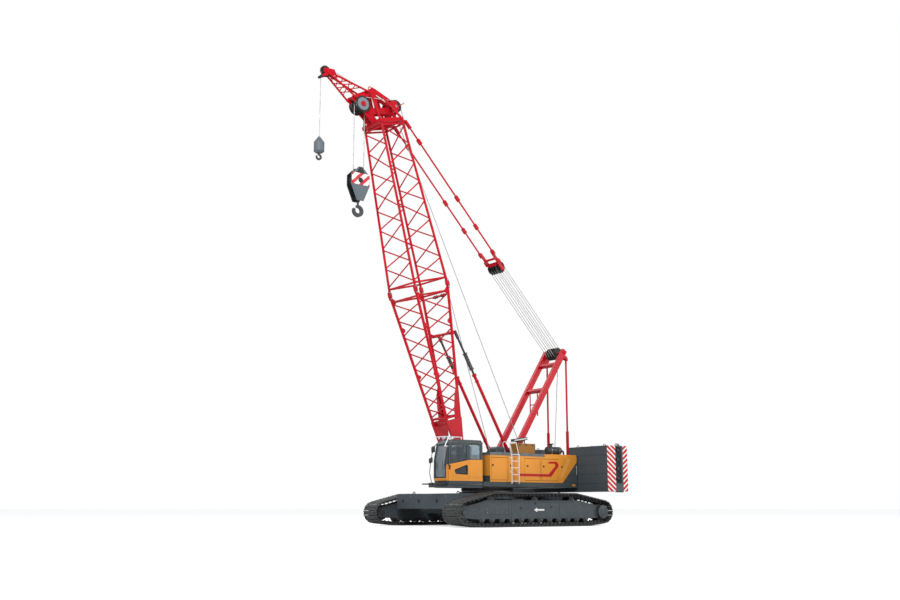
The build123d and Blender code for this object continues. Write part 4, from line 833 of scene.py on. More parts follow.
def add_shoe(kit, start, end, y, half):
    """A cast shoe with two low grousers, a pocket near each end, and the links and horns inside it."""
    length = (end - start).length
    way = (end - start).normalized()
    inward = Vector((-way.z, 0, way.x))

    def section(outline, across):
        return [start + along * way + depth * inward + Vector((0, y + across, 0)) for along, depth in outline]

    ends = ((0, 0.020), (0.065, 0.020), (0.072, 0.036), (0.185, 0.036), (0.192, 0.014))
    stations = [(place - half, middle) for place, middle in ends]
    stations += [(-across, middle) for across, middle in reversed(stations)]
    kit.loft([section(shoe_profile(length, middle), across) for across, middle in stations])
    link = [(-0.012, 0.060), (0.02, 0.048), (length - 0.02, 0.048), (length + 0.002, 0.060),
            (length + 0.002, 0.115), (length - 0.03, 0.135), (0.03, 0.135), (-0.012, 0.115)]
    horn = [(0.050, 0.048), (length - 0.050, 0.048), (length - 0.070, 0.160), (0.070, 0.160)]
    for outline, low, high in ((link, 0.09, 0.19), (horn, 0.235, 0.285)):
        for a, b in ((-high, -low), (low, high)):
            kit.loft([section(outline, a), section(outline, b)])
    pin = section([(-SHOE_GAP / 2, 0.088)], -0.225)[0]
    kit.turned(pin, ACROSS, ((0, 0.020), (0.45, 0.020)), 8)


def build_tracks():
    for word, _ in SIDES:
        node = f"{word}_track"
        low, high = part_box(node)
        kit = Kit()
        for start, end in shoe_places(node):
            add_shoe(kit, start, end, (low.y + high.y) / 2, (high.y - low.y) / 2)
        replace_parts(kit.done(f"{word}_track_shoes", "track_steel", "undercarriage", "track_steel"), node)


FRAME_FACE = 3.04  # y of a track frame's outer face
ROLLER_ROW = 2.78  # y of the rollers' middle
FRAME_PLATES = (  # outline on the outer face, and how far the plate stands out
    (rectangle(1.18, 0.33, 1.22, 0.90), 0.010),
    (rectangle(-1.26, 0.33, -1.22, 0.90), 0.010),
    (rectangle(-2.75, 0.31, 2.70, 0.335), 0.022),
    (rectangle(-2.0, 0.94, 2.1, 0.97), 0.022),
    (((1.42, 0.47), (2.48, 0.47), (2.48, 0.74), (1.42, 0.80)), 0.012),
)
FRAME_BOLTS = (1.48, 0.53), (1.95, 0.53), (2.42, 0.53), (1.48, 0.74), (1.95, 0.71), (2.42, 0.68)
FRAME_PLUGS = (-0.80, 0.74), (0.76, 0.71), (0.02, 0.88)
PLUG = (0, 0.050), (0.006, 0.050), (0.008, 0.032), (0.002, 0.030)
SOCKET = (0, 0.075), (0.008, 0.075), (0.010, 0.055), (0.002, 0.052)
WHEEL_COVERS = (  # node, profile of its cover, and its bolts: radius of their circle, number, size, height
    ("drive_sprockets", ((0, 0.25), (0.012, 0.25), (0.02, 0.20), (0.035, 0.19), (0.05, 0.13), (0.06, 0.12)),
     0.225, 18, 0.016, 0.012),
    ("track_idlers", ((0, 0.098), (0.010, 0.098), (0.018, 0.06), (0.028, 0.055)), 0.080, 8, 0.010, 0.0),
)
RING_TEETH = 132


def wheel_centres(node, z_low, z_high):
    """The x of each separate wheel of a node whose lowest vertices lie between two heights."""
    found = []
    points = [v.co for v in frame["nodes"][node].data.vertices]
    for x in sorted(p.x for p in points if z_low < p.z < z_high and p.y > 0):
        if not found or x - found[-1][-1] > 0.3:
            found.append([])
        found[-1].append(x)
    return [(group[0] + group[-1]) / 2 for group in found]


def middle_of(node, side=None):
    """The middle of a node's box, or of its half on one side of the machine."""
    points = [v.co for v in frame["nodes"][node].data.vertices if side is None or v.co.y * side > 0]
    low = [min(p[k] for p in points) for k in range(3)]
    high = [max(p[k] for p in points) for k in range(3)]
    return (Vector(low) + Vector(high)) / 2


def arrow(x, z):
    """The outline of a plain arrow that points to the front."""
    neck, tail, shaft, barb = -0.17, -0.53, 0.032, 0.085
    upper = [(0, 0), (neck, barb), (neck, shaft), (tail, shaft)]
    lower = [(dx, -dz) for dx, dz in upper[:0:-1]]
    return [(x + dx, z + dz) for dx, dz in upper + lower]


def build_track_frame_fittings():
    """Straps, plugs, the rollers' brackets and caps, and the travel arrow on each track frame."""
    rollers = wheel_centres("track_rollers", 0.13, 0.16)
    for word, side in SIDES:
        kit, bolts, plugs, sign = Kit(), Kit(), Kit(), Kit()
        out = outward(side)
        for outline, thick in FRAME_PLATES:
            kit.plate(side * FRAME_FACE, outline, side * thick)
        for x, z in FRAME_BOLTS:
            bolts.bolt(at(x, side * (FRAME_FACE + 0.012), z), out, 0.020)
        for x in rollers:
            bracket = (x - 0.15, 0.31), (x - 0.08, 0.185), (x + 0.08, 0.185), (x + 0.15, 0.31)
            for y in (ROLLER_ROW - 0.235, ROLLER_ROW + 0.235):
                kit.prism([Vector((px, side * y - 0.030, pz)) for px, pz in bracket], (0, 0.060, 0))
            kit.turned((x, side * (FRAME_FACE + 0.022), 0.265), out, cap(0.058, 0.012, 0.018, 0.045), 20)
            for dx in (-0.10, 0.10):
                bolts.bolt((x + dx, side * (FRAME_FACE - 0.005), 0.272), out, 0.014)
        for x, z in FRAME_PLUGS:
            plugs.turned(at(x, side * FRAME_FACE, z), out, PLUG, 20)
        sign.plate(side * FRAME_FACE, arrow(0.10, 0.64), side * 0.004)
        kit.done(f"{word}_track_frame_plates", "slate_paint", "undercarriage", "slate_paint", bevel=0.003)
        bolts.done(f"{word}_track_frame_bolts", "bare_steel", "undercarriage", "roller_steel")
        plugs.done(f"{word}_track_frame_plugs", "rubber", "undercarriage", "roller_steel")
        sign.done(f"{word}_travel_arrow", "white_paint", "undercarriage", "slate_paint")


def build_wheel_covers():
    """Turned covers and their bolts on the outer faces of sprockets and idlers."""
    for word, side in SIDES:
        kit, bolts = Kit(), Kit()
        out = outward(side)
        for node, profile, radius, count, size, lift in WHEEL_COVERS:
            low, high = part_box(node)
            centre = middle_of(node, side)
            hub = Vector((centre.x, (high if side > 0 else low).y, centre.z))
            kit.turned(hub, out, profile, 40)
            bolts.bolt_circle(hub + lift * out, out, radius, count, size)
        kit.done(f"{word}_wheel_covers", "slate_paint", "undercarriage", "roller_steel", bevel=0.002)
        bolts.done(f"{word}_wheel_bolts", "bare_steel", "undercarriage", "roller_steel")


def build_carbody_fittings():
    """Sockets, bolts and lifting eyes on the carbody weights, and teeth round the slewing ring."""
    eyes_and_teeth, bolts, sockets = Kit(), Kit(), Kit()
    low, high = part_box("carbody_weights")
    for end, face in ((-1, low.x), (1, high.x)):
        out = Vector((end, 0, 0))
        for y in (-1.75, -0.62, 0.62, 1.75):
            sockets.turned((face, y, 0.98), out, SOCKET, 24)
        for y in (-1.2, 1.2):
            for z in (0.80, 1.15):
                bolts.bolt((face, y, z), out, 0.030)
        for y in (-1.5, 1.5):
            hoop = (-0.07, -0.02), (-0.07, 0.05), (0, 0.09), (0.07, 0.05), (0.07, -0.02)
            line = [Vector((face - end * 0.38, y + dy, high.z + dz)) for dy, dz in hoop]
            eyes_and_teeth.pipe(line, 0.018, bend=0.05)
    ring = middle_of("slewing_ring")
    low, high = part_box("slewing_ring")
    for k in range(RING_TEETH):
        angle = math.tau * k / RING_TEETH
        way = Vector((math.cos(angle), math.sin(angle), 0))
        across = Vector((-way.y, way.x, 0))
        root = Vector((ring.x, ring.y, low.z + 0.055)) + (high.x - low.x) / 2 * way
        tooth = (0, -0.016), (0, 0.016), (0.024, 0.008), (0.024, -0.008)
        eyes_and_teeth.prism([root + tall * way + half * across for tall, half in tooth], (0, 0, 0.10))
    bolts.bolt_circle((ring.x, ring.y, low.z), UP, (high.x - low.x) / 2 + 0.06, 48, 0.022)
    eyes_and_teeth.done("carbody_lifting_eyes_and_ring_teeth", "dark_steel", "undercarriage", "roller_steel")
    bolts.done("carbody_bolts", "bare_steel", "undercarriage", "roller_steel")
    sockets.done("carbody_weight_sockets", "rubber", "undercarriage", "weight_paint")


build_tracks()
build_track_frame_fittings()
build_wheel_covers()
build_carbody_fittings()


# Upperworks ----------------------------------------------------------------------------------------

HOUSING_FACE = 1.498  # y of a housing's fixed panels; its doors stand 2 mm further out
LOUVRE_PITCH = 0.055
LATCH_HEIGHT = 2.39
# The door that a latch is on, or None where it is on a fixed panel, and its x.
LATCHES = (("front", 0.89), ("middle", -0.93), ("rear", -1.80), (None, -2.81), (None, -0.04))


def build_latches():
    """A round latch with a thumb piece on each door, and two more on the fixed panels beside them."""
    for word, side in SIDES:
        for door, x in LATCHES:
            kit = Kit()
            face = HOUSING_FACE + (0.002 if door else 0)
            profile = ((0, 0.042), (0.008, 0.042), (0.012, 0.030), (0.006, 0.028))
            kit.turned(at(x, side * face, LATCH_HEIGHT), outward(side), profile, 24)
            kit.loft([[at(x + dx, side * (face + lift), LATCH_HEIGHT + dz) for dx, dz in oblong(wide, tall)]
                      for lift, wide, tall in ((0.006, 0.022, 0.010), (0.014, 0.016, 0.006))])
            place = str(x).replace("-", "rear_").replace(".", "_")
            body = f"{word}_{door}_door_body" if door else "upper"
            kit.done(f"{word}_latch_{place}", "rubber", body, "dark_plastic")


def build_housing_details():
    """Ribs, strips, screws and marker lamps on both housings, and the panel beside the cab."""
    strips, ribs, screws, lamps, panel = Kit(), Kit(), Kit(), Kit(), Kit()
    lamp = ((-3.54, 1.605), (-3.38, 1.605), (-3.37, 1.615), (-3.37, 1.665), (-3.38, 1.675), (-3.54, 1.675),
            (-3.55, 1.665), (-3.55, 1.615))
    for _, side in SIDES:
        for shift in (0, 0.085):
            for (x0, z0), (x1, z1) in (((-3.26, 2.72), (-3.16, 2.52)), ((-3.16, 2.52), (-2.84, 1.95))):
                rib = (x0 - 0.010, z0), (x0 + 0.012, z0), (x1 + 0.012, z1), (x1 - 0.010, z1)
                ribs.plate(side * 1.4985, [(x + shift, z) for x, z in rib], side * 0.008)
        strips.plate(side * 1.499, rectangle(-3.656, 2.08, -3.636, 2.46), side * 0.004)
        lamps.plate(side * 1.497, lamp, side * 0.020)
        for x in (1.00, 0.02, -0.72, -1.655, -2.64):
            for z in (1.77, 2.73):
                screws.bolt(at(x, side * 1.499, z), outward(side), 0.010)
    panel.box(at(1.028, 0.802, 1.735), at(1.036, 1.498, 1.98))
    panel.done("housing_front_panel", "slate_paint", "upper", "slate_paint", bevel=0.002)
    strips.done("housing_edge_strips", "white_paint", "upper", "white_paint")
    # The ribs' light orange is a painted highlight.
    ribs.done("housing_ribs", "rib_paint", "upper", "orange_paint", bevel=0.002)
    screws.done("housing_screws", "bare_steel", "upper", "dark_steel")
    lamps.done("side_marker_lamps", "lamp_amber", "upper", "red_paint", bevel=0.003)


def louvres(kit, x_low, x_high, z_low, z_high):
    """Rows of pressed slats on a panel on the right, each open at its lower edge."""
    profile = (0, 0.004), (0.020, 0.004), (0.024, 0.010), (0.004, 0.044), (0, 0.046)
    for k in range(round((z_high - z_low) / LOUVRE_PITCH)):
        z = z_low + k * LOUVRE_PITCH
        kit.loft([[at(x, -1.499 - dy * grow, z + dz) for dy, dz in profile]
                  for x, grow in ((x_low, 0.15), (x_low + 0.03, 1), (x_high - 0.03, 1), (x_high, 0.15))])


def build_louvres():
    kit = Kit()
    louvres(kit, -0.66, -0.10, 1.98, 2.62)
    louvres(kit, -3.55, -2.95, 1.98, 2.55)
    kit.done("right_panel_louvres", "housing_paint", "upper", "slate_paint")
    for door, low, high in (("middle", -1.56, -0.98), ("rear", -2.52, -1.90)):
        kit = Kit()
        louvres(kit, low, high, 1.98, 2.30)
        kit.done(f"right_{door}_door_louvres", "housing_paint", f"right_{door}_door_body", "orange_paint")


def build_hood():
    """A low covered box on the left roof between the cab and the ladder."""
    kit, slats = Kit(), Kit()
    outline = ((0.20, 2.895), (0.66, 2.895), (0.66, 3.06), (0.60, 3.13), (0.28, 3.13), (0.20, 3.06))
    kit.plate(1.00, outline, 0.42)
    for k in range(6):
        x = 0.26 + 0.06 * k
        slats.plate(1.418, rectangle(x, 2.94, x + 0.03, 3.06), 0.008)
    kit.done("intake_hood", "slate_paint", "upper", "slate_paint", bevel=0.012)
    slats.done("intake_hood_slats", "rubber", "upper", "dark_plastic")


def build_ladder():
    """Flat stiles, gripping rungs, and hoops that lean forward over the edge of the roof."""
    kit = Kit()
    foot, top, y = 1.665, 2.86, 1.635
    for x in (-0.36, 0.02):
        kit.box(at(x - 0.011, y - 0.026, foot), at(x + 0.011, y + 0.026, top))
        hoop = [at(x, y, top - 0.10), at(x + 0.14, y, 3.30), at(x + 0.15, y - 0.10, 3.335),
                at(x + 0.15, 1.33, 3.335), at(x + 0.14, 1.23, 3.28), at(x, 1.23, 2.895)]
        kit.pipe(hoop, 0.017, 12, bend=0.07)
        for z in (2.10, 2.66):
            kit.box(at(x - 0.004, 1.49, z), at(x + 0.004, y, z + 0.06))
    for k in range(5):
        z = foot + 0.10 + k * 0.265
        kit.box(at(-0.36, y - 0.020, z - 0.012), at(0.02, y + 0.020, z + 0.010))
        for j in range(8):
            x = -0.325 + 0.046 * j
            kit.loft([[at(x + dx, y + dy, z + lift) for dx, dy in oblong(half, half)]
                      for half, lift in ((0.012, 0.010), (0.006, 0.017))])
    ladder = kit.done("ladder_with_hoops", "white_paint", "upper", "white_paint", bevel=0.002)
    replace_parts(ladder, "access_ladder")


def build_cable_tray():
    """A dark tray with a light edge, on brackets from the near front leg of the gantry."""
    kit, edge = Kit(), Kit()
    kit.plate(0.76, ((-0.67, 3.38), (-0.66, 3.50), (-1.40, 3.61), (-1.41, 3.49)), 0.20)
    for x, z in ((-0.95, 3.40), (-1.30, 3.46)):
        kit.box(at(x - 0.03, 0.60, z), at(x + 0.03, 0.80, z + 0.03))
        kit.box(at(x - 0.02, 0.86, 2.90), at(x + 0.02, 0.90, z + 0.04))
    edge.plate(0.958, ((-0.70, 3.425), (-0.695, 3.465), (-1.37, 3.565), (-1.375, 3.525)), 0.006)
    kit.done("cable_tray", "slate_paint", "upper", "slate_paint", bevel=0.006)
    edge.done("cable_tray_edge", "white_paint", "upper", "white_paint")


def build_tool_box_fittings():
    kit = Kit()
    low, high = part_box("tool_box")
    for x in (low.x + 0.15, (low.x + high.x) / 2, high.x - 0.15):
        kit.box((x - 0.03, high.y - 0.004, high.z - 0.10), (x + 0.03, high.y + 0.010, high.z - 0.04))
        kit.rod((x - 0.05, high.y + 0.006, high.z - 0.045), (x + 0.05, high.y + 0.006, high.z - 0.045), 0.008)
    for x in (low.x + 0.004, high.x - 0.034):
        kit.box((x, high.y - 0.002, low.z + 0.02), (x + 0.03, high.y + 0.006, high.z - 0.02))
    kit.done("tool_box_fittings", "dark_steel", "upper", "dark_steel", bevel=0.002)


def build_muffler():
    """A drum on two saddles, its short neck under a flat rain cap, and its pipe down into the housing."""
    kit, straps = Kit(), Kit()
    y, z, radius = 1.15, 3.075, 0.160
    dished = ((0, 0.06), (0.012, 0.12), (0.035, 0.152), (0.06, radius))
    drum = [*dished, (0.74, radius), (0.765, 0.152), (0.788, 0.12), (0.80, 0.06)]
    kit.turned(at(-3.06, y, z), AHEAD, drum, 48)
    for x in (-2.92, -2.48):
        straps.turned(at(x, y, z), AHEAD, ((0, radius + 0.007), (0.035, radius + 0.007)), 48)
        straps.box(at(x, y - 0.15, 2.896), at(x + 0.035, y + 0.15, 2.99))
    kit.turned(at(-2.53, y, 3.20), UP,
               ((0, 0.085), (0.05, 0.062), (0.12, 0.060), (0.135, 0.135), (0.155, 0.135), (0.165, 0.12)), 36)
    kit.turned(at(-3.10, y, z), AHEAD, ((0, 0.045), (0.06, 0.045)), 24)
    kit.pipe([at(-3.10, y, z), at(-3.20, y, z), at(-3.24, y, 3.00), at(-3.24, y, 2.86)], 0.040, 16, bend=0.08)
    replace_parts(kit.done("muffler_drum", "exhaust_steel", "upper", "exhaust_steel"), "exhaust_muffler")
    straps.done("muffler_straps", "bare_steel", "upper", "exhaust_steel", bevel=0.002)


def build_fuel_tank():
    """The tank on the right of the deck, its outer front corner cut off, with straps and a cap."""
    low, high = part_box("fuel_tank")
    kit, straps = Kit(), Kit()

    def outline(grow):
        return [(low.x - grow, high.y + grow), (low.x - grow, low.y - grow), (low.x + 0.33, low.y - grow),
                (high.x + grow, high.y - 0.17), (high.x + grow, high.y + grow)]

    kit.loft([[Vector((x, y, z)) for x, y in outline(-inset)] for z, inset in
              ((low.z + 0.002, 0.03), (low.z + 0.03, 0.002), (high.z - 0.03, 0.002), (high.z - 0.004, 0.03))])
    for z in (low.z + 0.18, high.z - 0.20):
        straps.loft([[Vector((x, y, z + dz)) for x, y in outline(0.004)] for dz in (0, 0.045)])
    cap = Vector((low.x + 0.25, (low.y + high.y) / 2, high.z - 0.006))
    straps.turned(cap, UP, ((0, 0.075), (0.03, 0.075), (0.04, 0.060), (0.075, 0.055), (0.08, 0.045)), 28)
    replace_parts(kit.done("fuel_tank_body", "orange_paint", "upper", "orange_paint", bevel=0.015), "fuel_tank")
    straps.done("fuel_tank_straps", "dark_steel", "upper", "dark_steel", bevel=0.002)


build_latches()
build_fuel_tank()
build_housing_details()
build_louvres()
build_hood()
build_ladder()
build_cable_tray()
build_tool_box_fittings()
build_muffler()


# Cab -----------------------------------------------------------------------------------------------

CAB_FACE = 1.454  # y of the strips on the cab's side
DOOR_FACE = 1.502  # y of the seals on its door
RAIL_Y, MIRROR_Y = 1.37, 1.385


def closed_pipe(kit, corners, radius, bend):
    """A pipe round a closed line, that starts and ends in the middle of its first side."""
    corners = [Vector(p) for p in corners]
    start = (corners[0] + corners[1]) / 2
    kit.pipe([start, *corners[1:], corners[0], start], radius, 8, bend=bend)


def build_cab_seals():
    """Rubber round the windscreen, the rear window and the two panes of the door."""
    kit, door = Kit(), Kit()
    left, right = 1.385, 0.69
    windscreen = [at(3.155, left, 1.88), at(3.155, right, 1.88), at(3.155, right, 2.54),
                  at(3.036, right, 3.13), at(3.036, left, 3.13), at(3.155, left, 2.54)]
    rear_window = (1.49, 2.585), (2.02, 2.57), (2.02, 3.15), (1.49, 3.15)
    door_window = (2.21, 2.54), (2.97, 2.40), (2.97, 3.12), (2.21, 3.12)
    foot_window = (2.17, 2.01), (2.71, 2.03), (2.77, 2.15), (2.17, 2.36)
    closed_pipe(kit, windscreen, 0.013, 0.05)
    closed_pipe(kit, side_face(1.449, rear_window), 0.010, 0.05)
    closed_pipe(door, side_face(DOOR_FACE, door_window), 0.010, 0.05)
    closed_pipe(door, side_face(DOOR_FACE, foot_window), 0.022, 0.03)
    kit.done("cab_window_seals", "rubber", "upper", "dark_plastic")
    door.done("door_window_seals", "rubber", "sliding_cab_door", "dark_plastic")


def build_cab_strips():
    """The orange strips under the windscreen, and at the belt and sill of the cab's side."""
    kit = Kit()
    kit.plate(0.66, ((3.153, 1.845), (3.166, 1.845), (3.164, 1.815), (3.134, 1.745), (3.122, 1.752)), 0.76)
    kit.plate(CAB_FACE, rectangle(1.385, 1.90, 2.09, 1.94), 0.006)
    kit.plate(CAB_FACE, ((1.375, 2.415), (2.125, 2.415), (2.125, 2.555), (1.375, 2.58)), 0.005)
    kit.plate(CAB_FACE, ((3.065, 2.29), (3.145, 2.28), (3.145, 2.355), (3.065, 2.37)), 0.005)
    kit.done("cab_orange_strips", "orange_paint", "upper", "orange_paint")


def add_wipers(kit):
    for y in (0.80, 1.28):
        kit.pipe([at(3.165, y, 1.90), at(3.185, y + 0.02, 2.00), at(3.180, y - 0.05, 2.45)], 0.008, 8)
        kit.box(at(3.160, y - 0.060, 2.22), at(3.172, y - 0.040, 2.52))


def add_roof_guard(kit):
    """A tube frame with bars on four posts over the roof window, and two straps to the cab's front corner."""
    z = 3.44
    closed_pipe(kit, [at(2.30, 0.72, z), at(3.20, 0.72, z), at(3.20, 1.38, z), at(2.30, 1.38, z)], 0.012, 0.05)
    for k in range(4):
        y = 0.85 + 0.13 * k
        kit.rod(at(2.30, y, z), at(3.20, y, z), 0.007, 8)
    for x in (2.36, 2.78):
        for y in (0.73, 1.37):
            kit.box(at(x - 0.015, y - 0.015, 3.33), at(x + 0.015, y + 0.015, 3.43))
    kit.plate(1.44, ((3.205, 3.055), (3.235, 3.075), (3.03, 3.46), (2.995, 3.45)), 0.014)
    kit.plate(1.44, rectangle(3.03, 3.05, 3.22, 3.08), 0.010)


def add_mirrors(kit, glass):
    """The handrail in front of the cab, and two mirrors on it."""
    rail = ((2.98, 3.31), (3.30, 3.30), (3.56, 3.13), (3.72, 2.94), (3.82, 2.51), (3.88, 2.01), (3.78, 1.66),
            (3.70, 1.63))
    kit.pipe(side_face(RAIL_Y, rail), 0.014, 10, bend=0.12)
    for x, z, tall in ((3.72, 2.92, 0.24), (3.83, 2.50, 0.20)):
        half = tall / 2
        ring = (-0.085, -half), (0.085, -half), (0.10, 0), (0.085, half), (-0.085, half), (-0.10, 0)
        kit.loft([[at(x + dx, MIRROR_Y + across * grow, z + (across * 0.2 + up) * grow) for across, up in ring]
                  for dx, grow in ((-0.025, 0.95), (-0.01, 1.0), (0.02, 0.96), (0.045, 0.75))])
        glass.loft([[at(x + dx, MIRROR_Y + across * 0.88, z + across * 0.18 + up * 0.88)
                     for across, up in ring] for dx in (-0.030, -0.026)])


def add_work_lamps(kit, lenses):
    for y in (0.86, 1.24):
        kit.turned(at(3.00, y, 3.395), AHEAD, ((0, 0.030), (0.02, 0.052), (0.06, 0.060), (0.068, 0.056)), 24)
        kit.box(at(3.01, y - 0.012, 3.33), at(3.04, y + 0.012, 3.37))
        lenses.turned(at(3.066, y, 3.395), AHEAD, ((0, 0.050), (0.006, 0.044), (0.009, 0.02)), 24)


def build_front_step():
    kit = Kit()
    for k in range(10):
        x = 3.10 + 0.07 * k
        kit.box(at(x, 0.72, 1.600), at(x + 0.008, 1.38, 1.630))
    for y in (0.71, 1.04, 1.385):
        kit.box(at(3.02, y - 0.01, 1.595), at(3.76, y + 0.01, 1.635))
    kit.box(at(3.74, 0.70, 1.595), at(3.76, 1.395, 1.640))
    kit.done("cab_front_step", "dark_steel", "upper", "dark_steel")


def build_cab_trim():
    """The front step, the painted strips, and what is fixed to the roof and in front of the cab."""
    dark, white, glass = Kit(), Kit(), Kit()
    build_front_step()
    build_cab_strips()
    add_wipers(dark)
    add_roof_guard(white)
    add_mirrors(dark, glass)
    add_work_lamps(dark, white)
    dark.done("cab_guard_rail_and_mirrors", "dark_steel", "upper", "dark_steel")
    white.done("cab_guard_bars_and_lamp_lenses", "lamp_white", "upper", "white_paint")
    glass.done("mirror_glass", "window_glass", "upper", "window_glass")


def build_door_handle():
    """The door's belt panel and handle, and the tracks that it slides in."""
    belt, handle, tracks = Kit(), Kit(), Kit()
    belt.plate(1.500, ((3.055, 2.27), (3.055, 2.375), (2.135, 2.545), (2.135, 2.415)), 0.005)
    handle.loft([[at(3.02 + dx * grow, 1.499 + lift, 2.26 + dz * grow) for dx, dz in oblong(0.035, 0.09)]
                 for lift, grow in ((0, 1), (0.008, 1), (0.012, 0.85))])
    grip = (1.505, 2.19), (1.535, 2.20), (1.535, 2.32), (1.505, 2.33)
    handle.pipe([at(3.035, y, z) for y, z in grip], 0.009, 8, bend=0.02)
    for y, z, radius in ((1.475, 1.615, 0.012), (1.470, 3.235, 0.014)):
        tracks.rod(at(1.36, y, z), at(3.08, y, z), radius)
    belt.done("cab_door_belt_panel", "orange_paint", "sliding_cab_door", "orange_paint")
    handle.done("cab_door_handle", "rubber", "sliding_cab_door", "dark_plastic")
    tracks.done("cab_door_tracks", "bare_steel", "upper", "dark_steel")


def cushion(name, middle, half, crown, turn=0.0, channels=2):
    """A padded cushion: a closed form crowned across both ways, its sides drawn in between the corners."""
    turned = Matrix.Rotation(turn, 3, "Y")
    outline = []
    for k in range(96):
        a = math.tau * k / 96
        stretch = 1 / max(abs(math.cos(a)), abs(math.sin(a))) ** 0.82
        pull = stretch * (1 - 0.03 * (1 - abs(math.sin(2 * a))))
        outline.append((math.cos(a) * pull, math.sin(a) * pull))
    rings = []
    for layer in range(1, 8):
        t = math.pi * (layer / 8 - 0.5)
        rim = 0.90 + 0.10 * math.cos(t) ** 0.45
        rings.append([middle + turned @ Vector((
            half.x * max(-1, min(1, x)) * rim, half.y * max(-1, min(1, y)) * rim, half.z * math.sin(t)))
            for x, y in outline])
    for grow in (0.85, 0.68, 0.50, 0.30, 0.12):
        row = []
        for x, y in outline:
            px, py = x * grow, y * grow
            lift = half.z * math.sin(math.pi * 0.375) + crown * (1 - px * px) * (1 - py * py)
            for channel in range(1, channels + 1):
                seam = channel / (channels + 1) * 2 - 1
                lift -= 0.35 * crown * math.exp(-((px - seam) / 0.045) ** 2)
            row.append(middle + turned @ Vector((half.x * 0.93 * px, half.y * 0.93 * py, lift)))
        rings.append(row)
    kit = Kit()
    kit.loft(rings)
    piece = kit.done(name, "seat_fabric", "upper", "seat_fabric")
    return piece


def build_cushions():
    seat = at(2.15, 1.04, 1.605)
    base = cushion("seat_cushion", seat + Vector((0.01, 0, 0.345)), Vector((0.235, 0.235, 0.048)), 0.022)
    cushion("seat_back_cushion", seat + Vector((-0.185, 0, 0.675)), Vector((0.27, 0.225, 0.045)), 0.020,
            turn=math.radians(90), channels=3)
    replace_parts(base, "seat_cushions")


def build_controls():
    """Two levers on each console and a monitor in the corner."""
    kit, screen = Kit(), Kit()
    knob = (0, 0.012), (0.02, 0.024), (0.05, 0.026), (0.065, 0.016)
    for side in (-1, 1):
        for x in (2.32, 2.40):
            base = at(x, 1.04 + side * 0.305, 2.10)
            kit.pipe([base, base + Vector((0.005, 0, 0.10)), base + Vector((0.02, 0, 0.16))], 0.007, 8)
            kit.turned(base + Vector((0.018, 0, 0.14)), (0.1, 0, 1), knob, 16)
    kit.box(at(2.86, 1.30, 2.10), at(2.90, 1.40, 2.32))
    screen.box(at(2.855, 1.31, 2.12), at(2.861, 1.39, 2.30))
    kit.done("levers_and_monitor", "dark_plastic", "upper", "dark_plastic", bevel=0.002)
    screen.done("monitor_screen", "window_glass", "upper", "dark_plastic")


build_cab_seals()
build_cab_trim()
build_door_handle()
build_cushions()
build_controls()


# Counterweight, drums and winches ------------------------------------------------------------------

def chain(kit, top, links, pitch, wire):
    """Hanging chain: oval links set square to one another."""
    tall, wide = pitch * 0.5 + wire * 1.6, wire * 1.7
    half = [(0, 1), (0.75, 0.85), (1, 0.45), (1, -0.45), (0.75, -0.85)]
    oval = half + [(-a, -b) for a, b in half]
    for k in range(links):
        across = AHEAD if k % 2 else ACROSS
        first = across.cross(UP).normalized()
        line = [Vector(top) + Vector((0, 0, tall * dz - pitch * k)) + wide * dx * across for dx, dz in oval]
        rings = []
        for before, p, after in zip(line[-1:] + line[:-1], line, line[1:] + line[:1]):
            rings.append(circle(p, first, (after - before).normalized().cross(first), wire, 6))
        kit.loft(rings, closed=True)


def eye_over(kit, middle, half, z, rise, wire):
    """A lifting eye of round bar, bent over a point."""
    x, y = middle
    line = ((-half, 0), (-half, rise), (0, rise + 0.045), (half, rise), (half, 0))
    kit.pipe([at(x + dx, y, z + dz) for dx, dz in line], wire, bend=0.05)


def build_counterweight_gear():
    """Bosses and chains in the recess at each end, a dark plate of painted shade over the tray below each recess,
    lifting eyes, bolts and the seams between slabs.
    """
    gear, eyes, bolts, seams = Kit(), Kit(), Kit(), Kit()
    middle = -4.37
    boss = (0, 0.075), (0.018, 0.075), (0.022, 0.048), (0.095, 0.045), (0.100, 0.062), (0.115, 0.060)
    for _, side in SIDES:
        chain_y = side * 3.215
        for z in (1.55, 1.92, 2.30, 2.69, 3.07):
            gear.turned(at(middle, side * 3.13, z), outward(side), boss, 24)
        chain(gear, at(middle - 0.10, chain_y, 3.18), 22, 0.074, 0.012)
        gear.box(at(middle - 0.14, chain_y - 0.02, 3.20), at(middle + 0.14, chain_y + 0.02, 3.26))
        # Painted shade: a dark plate over the tray below the recess, standing in for the recess's shade there.
        near, far = sorted((side * 3.255, side * 3.268))
        gear.box(at(middle - 0.235, near, 1.335), at(middle + 0.215, far, 1.70))
        for x in (middle - 0.04, middle + 0.06):
            eye_over(eyes, (x, chain_y), 0.06, 3.25, 0.05, 0.016)
        for x in (-3.95, -4.72):
            for y in (1.30, 2.90):
                eye_over(eyes, (x, side * y), 0.07, 3.235, 0.045, 0.015)
        for x in (-3.90, -4.75):
            for y in (1.6, 2.2):
                bolts.bolt(at(x, side * y, 3.243), UP, 0.035)
        for z in (1.706, 2.0905, 2.475, 2.8595):
            near, far = sorted((side * 0.975, side * WEIGHT_END))
            seams.box(at(-3.7215, near, z - 0.006), at(-3.7175, far, z + 0.006))
    seams.done("counterweight_seams", "rubber", "upper", "weight_paint")
    gear.done("counterweight_chains_and_painted_shade_plates", "dark_steel", "upper", "dark_steel")
    eyes.done("counterweight_lifting_eyes", "bare_steel", "upper", "dark_steel")
    bolts.done("counterweight_bolts", "bare_steel", "upper", "dark_steel")


